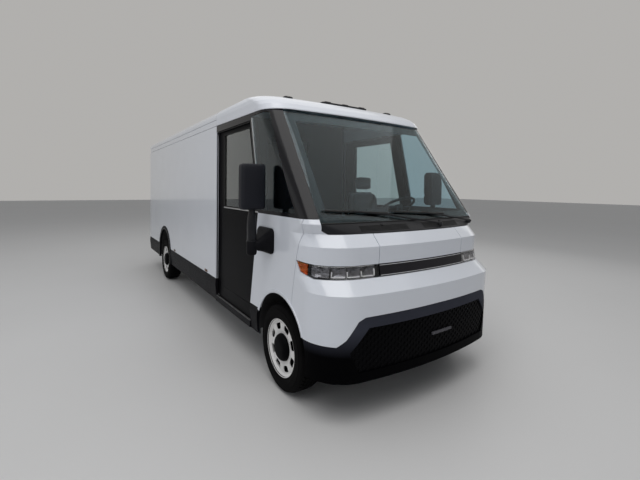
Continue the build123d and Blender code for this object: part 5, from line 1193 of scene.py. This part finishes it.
for y, wide, low, high in ((SEAT_Y - 0.075, 0.060, 0.835, 0.985), (SEAT_Y + 0.075, 0.095, 0.900, 0.972)):
    middle = (low + high) / 2
    pedals.sweep([(at(0.085), y, low), (at(0.110), y, middle), (at(0.128), y, high)],
        rounded(wide, 0.012, 0.004), up=(-1, 0, 0.3))
    pedals.sweep([(at(0.124), y, middle + 0.02), (at(0.190), y, high + 0.06), (at(0.230), y, 1.150)],
        rounded(0.022, 0.012, 0.004), up=(0, 1, 0))
    for k in range(5):
        rise = (high - low) * (k + 0.7) / 5.4
        pedals.sweep([(at(0.085) + rise * 0.287 - 0.0075, y + u, low + rise)
            for u in (-0.4 * wide, 0, 0.4 * wide)], rounded(0.006, 0.004, 0.0015))
pedals.show("pedals", trim, bevel=0.0008, smooth=40, slot="chassis_black")

# ---------------------------------------------------------------- cab inside: belt
backrest_tree = mesh_tree(backrest.data)
path = []
for _, left, above in (by_seat(0, 0.165 - 0.335 * share, 0.610 - 0.520 * share)
        for share in spaced(0, 1, 25)):
    hit = backrest_tree.ray_cast(Vector((SEAT_X + 0.6, left, above)), BACK)[0]
    if hit is not None:
        path.append(hit + Vector((0.004, 0, 0)))
Shape().sweep(path, rounded(0.046, 0.0016, 0.0006), up=(1, 0, 0.05)).show("seat_belt", webbing, smooth=50)
buckle = Shape().sweep([by_seat(0.14, -0.222, -0.10), by_seat(0.125, -0.226, -0.01),
    by_seat(0.115, -0.226, 0.055)], rounded(0.026, 0.012, 0.004), up=(0, 1, 0))
buckle.show("belt_buckle", inner_plastic, bevel=0.001, smooth=40)

# ---------------------------------------------------------------- stage, light and camera
floor = add_object("stage_floor", Shape().grid([[(x, y, -0.0005) for y in (-46, 60)]
    for x in (-46, 30)]).mesh("stage_floor"))
floor.data.materials.append(finish("stage_pale", (0.70, 0.695, 0.69), 0.5, mottle=0.02, patch=3))

# The world lights the van as plain sky, and shows as a pale wall to the camera, to metal and through glass
world = bpy.data.worlds.new("studio")
scene.world = world
world.use_nodes = True
tree = world.node_tree
backdrop = set_sockets(tree.nodes["Background"], {"Color": (0.44, 0.432, 0.42, 1), "Strength": 1.0})
ambient = new_node(tree, "Background", Color=(0.93, 0.96, 1.0, 1), Strength=0.24)
rays = new_node(tree, "LightPath")
seen, seen_more, mix = new_node(tree, "Math"), new_node(tree, "Math"), new_node(tree, "MixShader")
seen.operation = seen_more.operation = "MAXIMUM"
wire(tree, (rays, "Is Camera Ray", seen, 0), (rays, "Is Glossy Ray", seen, 1), (seen, 0, seen_more, 0),
    (rays, "Is Transmission Ray", seen_more, 1), (seen_more, 0, mix, "Fac"), (ambient, 0, mix, 1),
    (backdrop, 0, mix, 2), (mix, 0, tree.nodes["World Output"], "Surface"))


def lamp(name, spot, aim, size, power, colour=(1, 1, 1)):
    light = bpy.data.lights.new(name, "AREA")
    light.shape = "RECTANGLE"
    light.size, light.size_y = size
    light.energy = power
    light.color = colour
    obj = add_object(name, light)
    obj.location = spot
    obj.rotation_euler = (Vector(aim) - Vector(spot)).to_track_quat("-Z", "Y").to_euler()


lamp("key", (5.2, -2.8, 7.5), (2.3, 0, 1.0), (6, 6), 205, (1.0, 0.99, 0.98))
lamp("ceiling", (-1.0, 0, 8.5), (-1.0, 0, 0), (16, 14), 330)
lamp("right_fill", (1.0, -9.0, 4.0), (-0.5, 0, 1.4), (12, 4), 60, (0.95, 0.97, 1.0))
lamp("left_fill", (0.5, 8.0, 4.5), (0, 0, 1.2), (6, 3), 40)

CAMERA_SPOT = (at(2.82189), -2.55625, 1.78076)
YAW, PITCH, ROLL = math.radians(33.85), math.radians(-1.308), math.radians(0.694)
camera_data = bpy.data.cameras.new("camera")
camera = add_object("camera", camera_data)
ahead = Vector((-math.cos(YAW) * math.cos(PITCH), math.sin(YAW) * math.cos(PITCH), math.sin(PITCH)))
right = ahead.cross(Vector((0, 0, 1))).normalized()
up = right.cross(ahead)
tilt_right = right * math.cos(ROLL) + up * math.sin(ROLL)
tilt_up = up * math.cos(ROLL) - right * math.sin(ROLL)
camera.matrix_world = Matrix.Translation(CAMERA_SPOT) @ Matrix((tilt_right, tilt_up,
    -ahead)).transposed().to_4x4()
camera_data.sensor_width = 36
camera_data.lens = 20.6341875
camera_data.shift_x, camera_data.shift_y = 0.0044, -0.0681
camera_data.clip_start, camera_data.clip_end = 0.05, 200
scene.camera = camera
scene.view_settings.view_transform = "Standard"
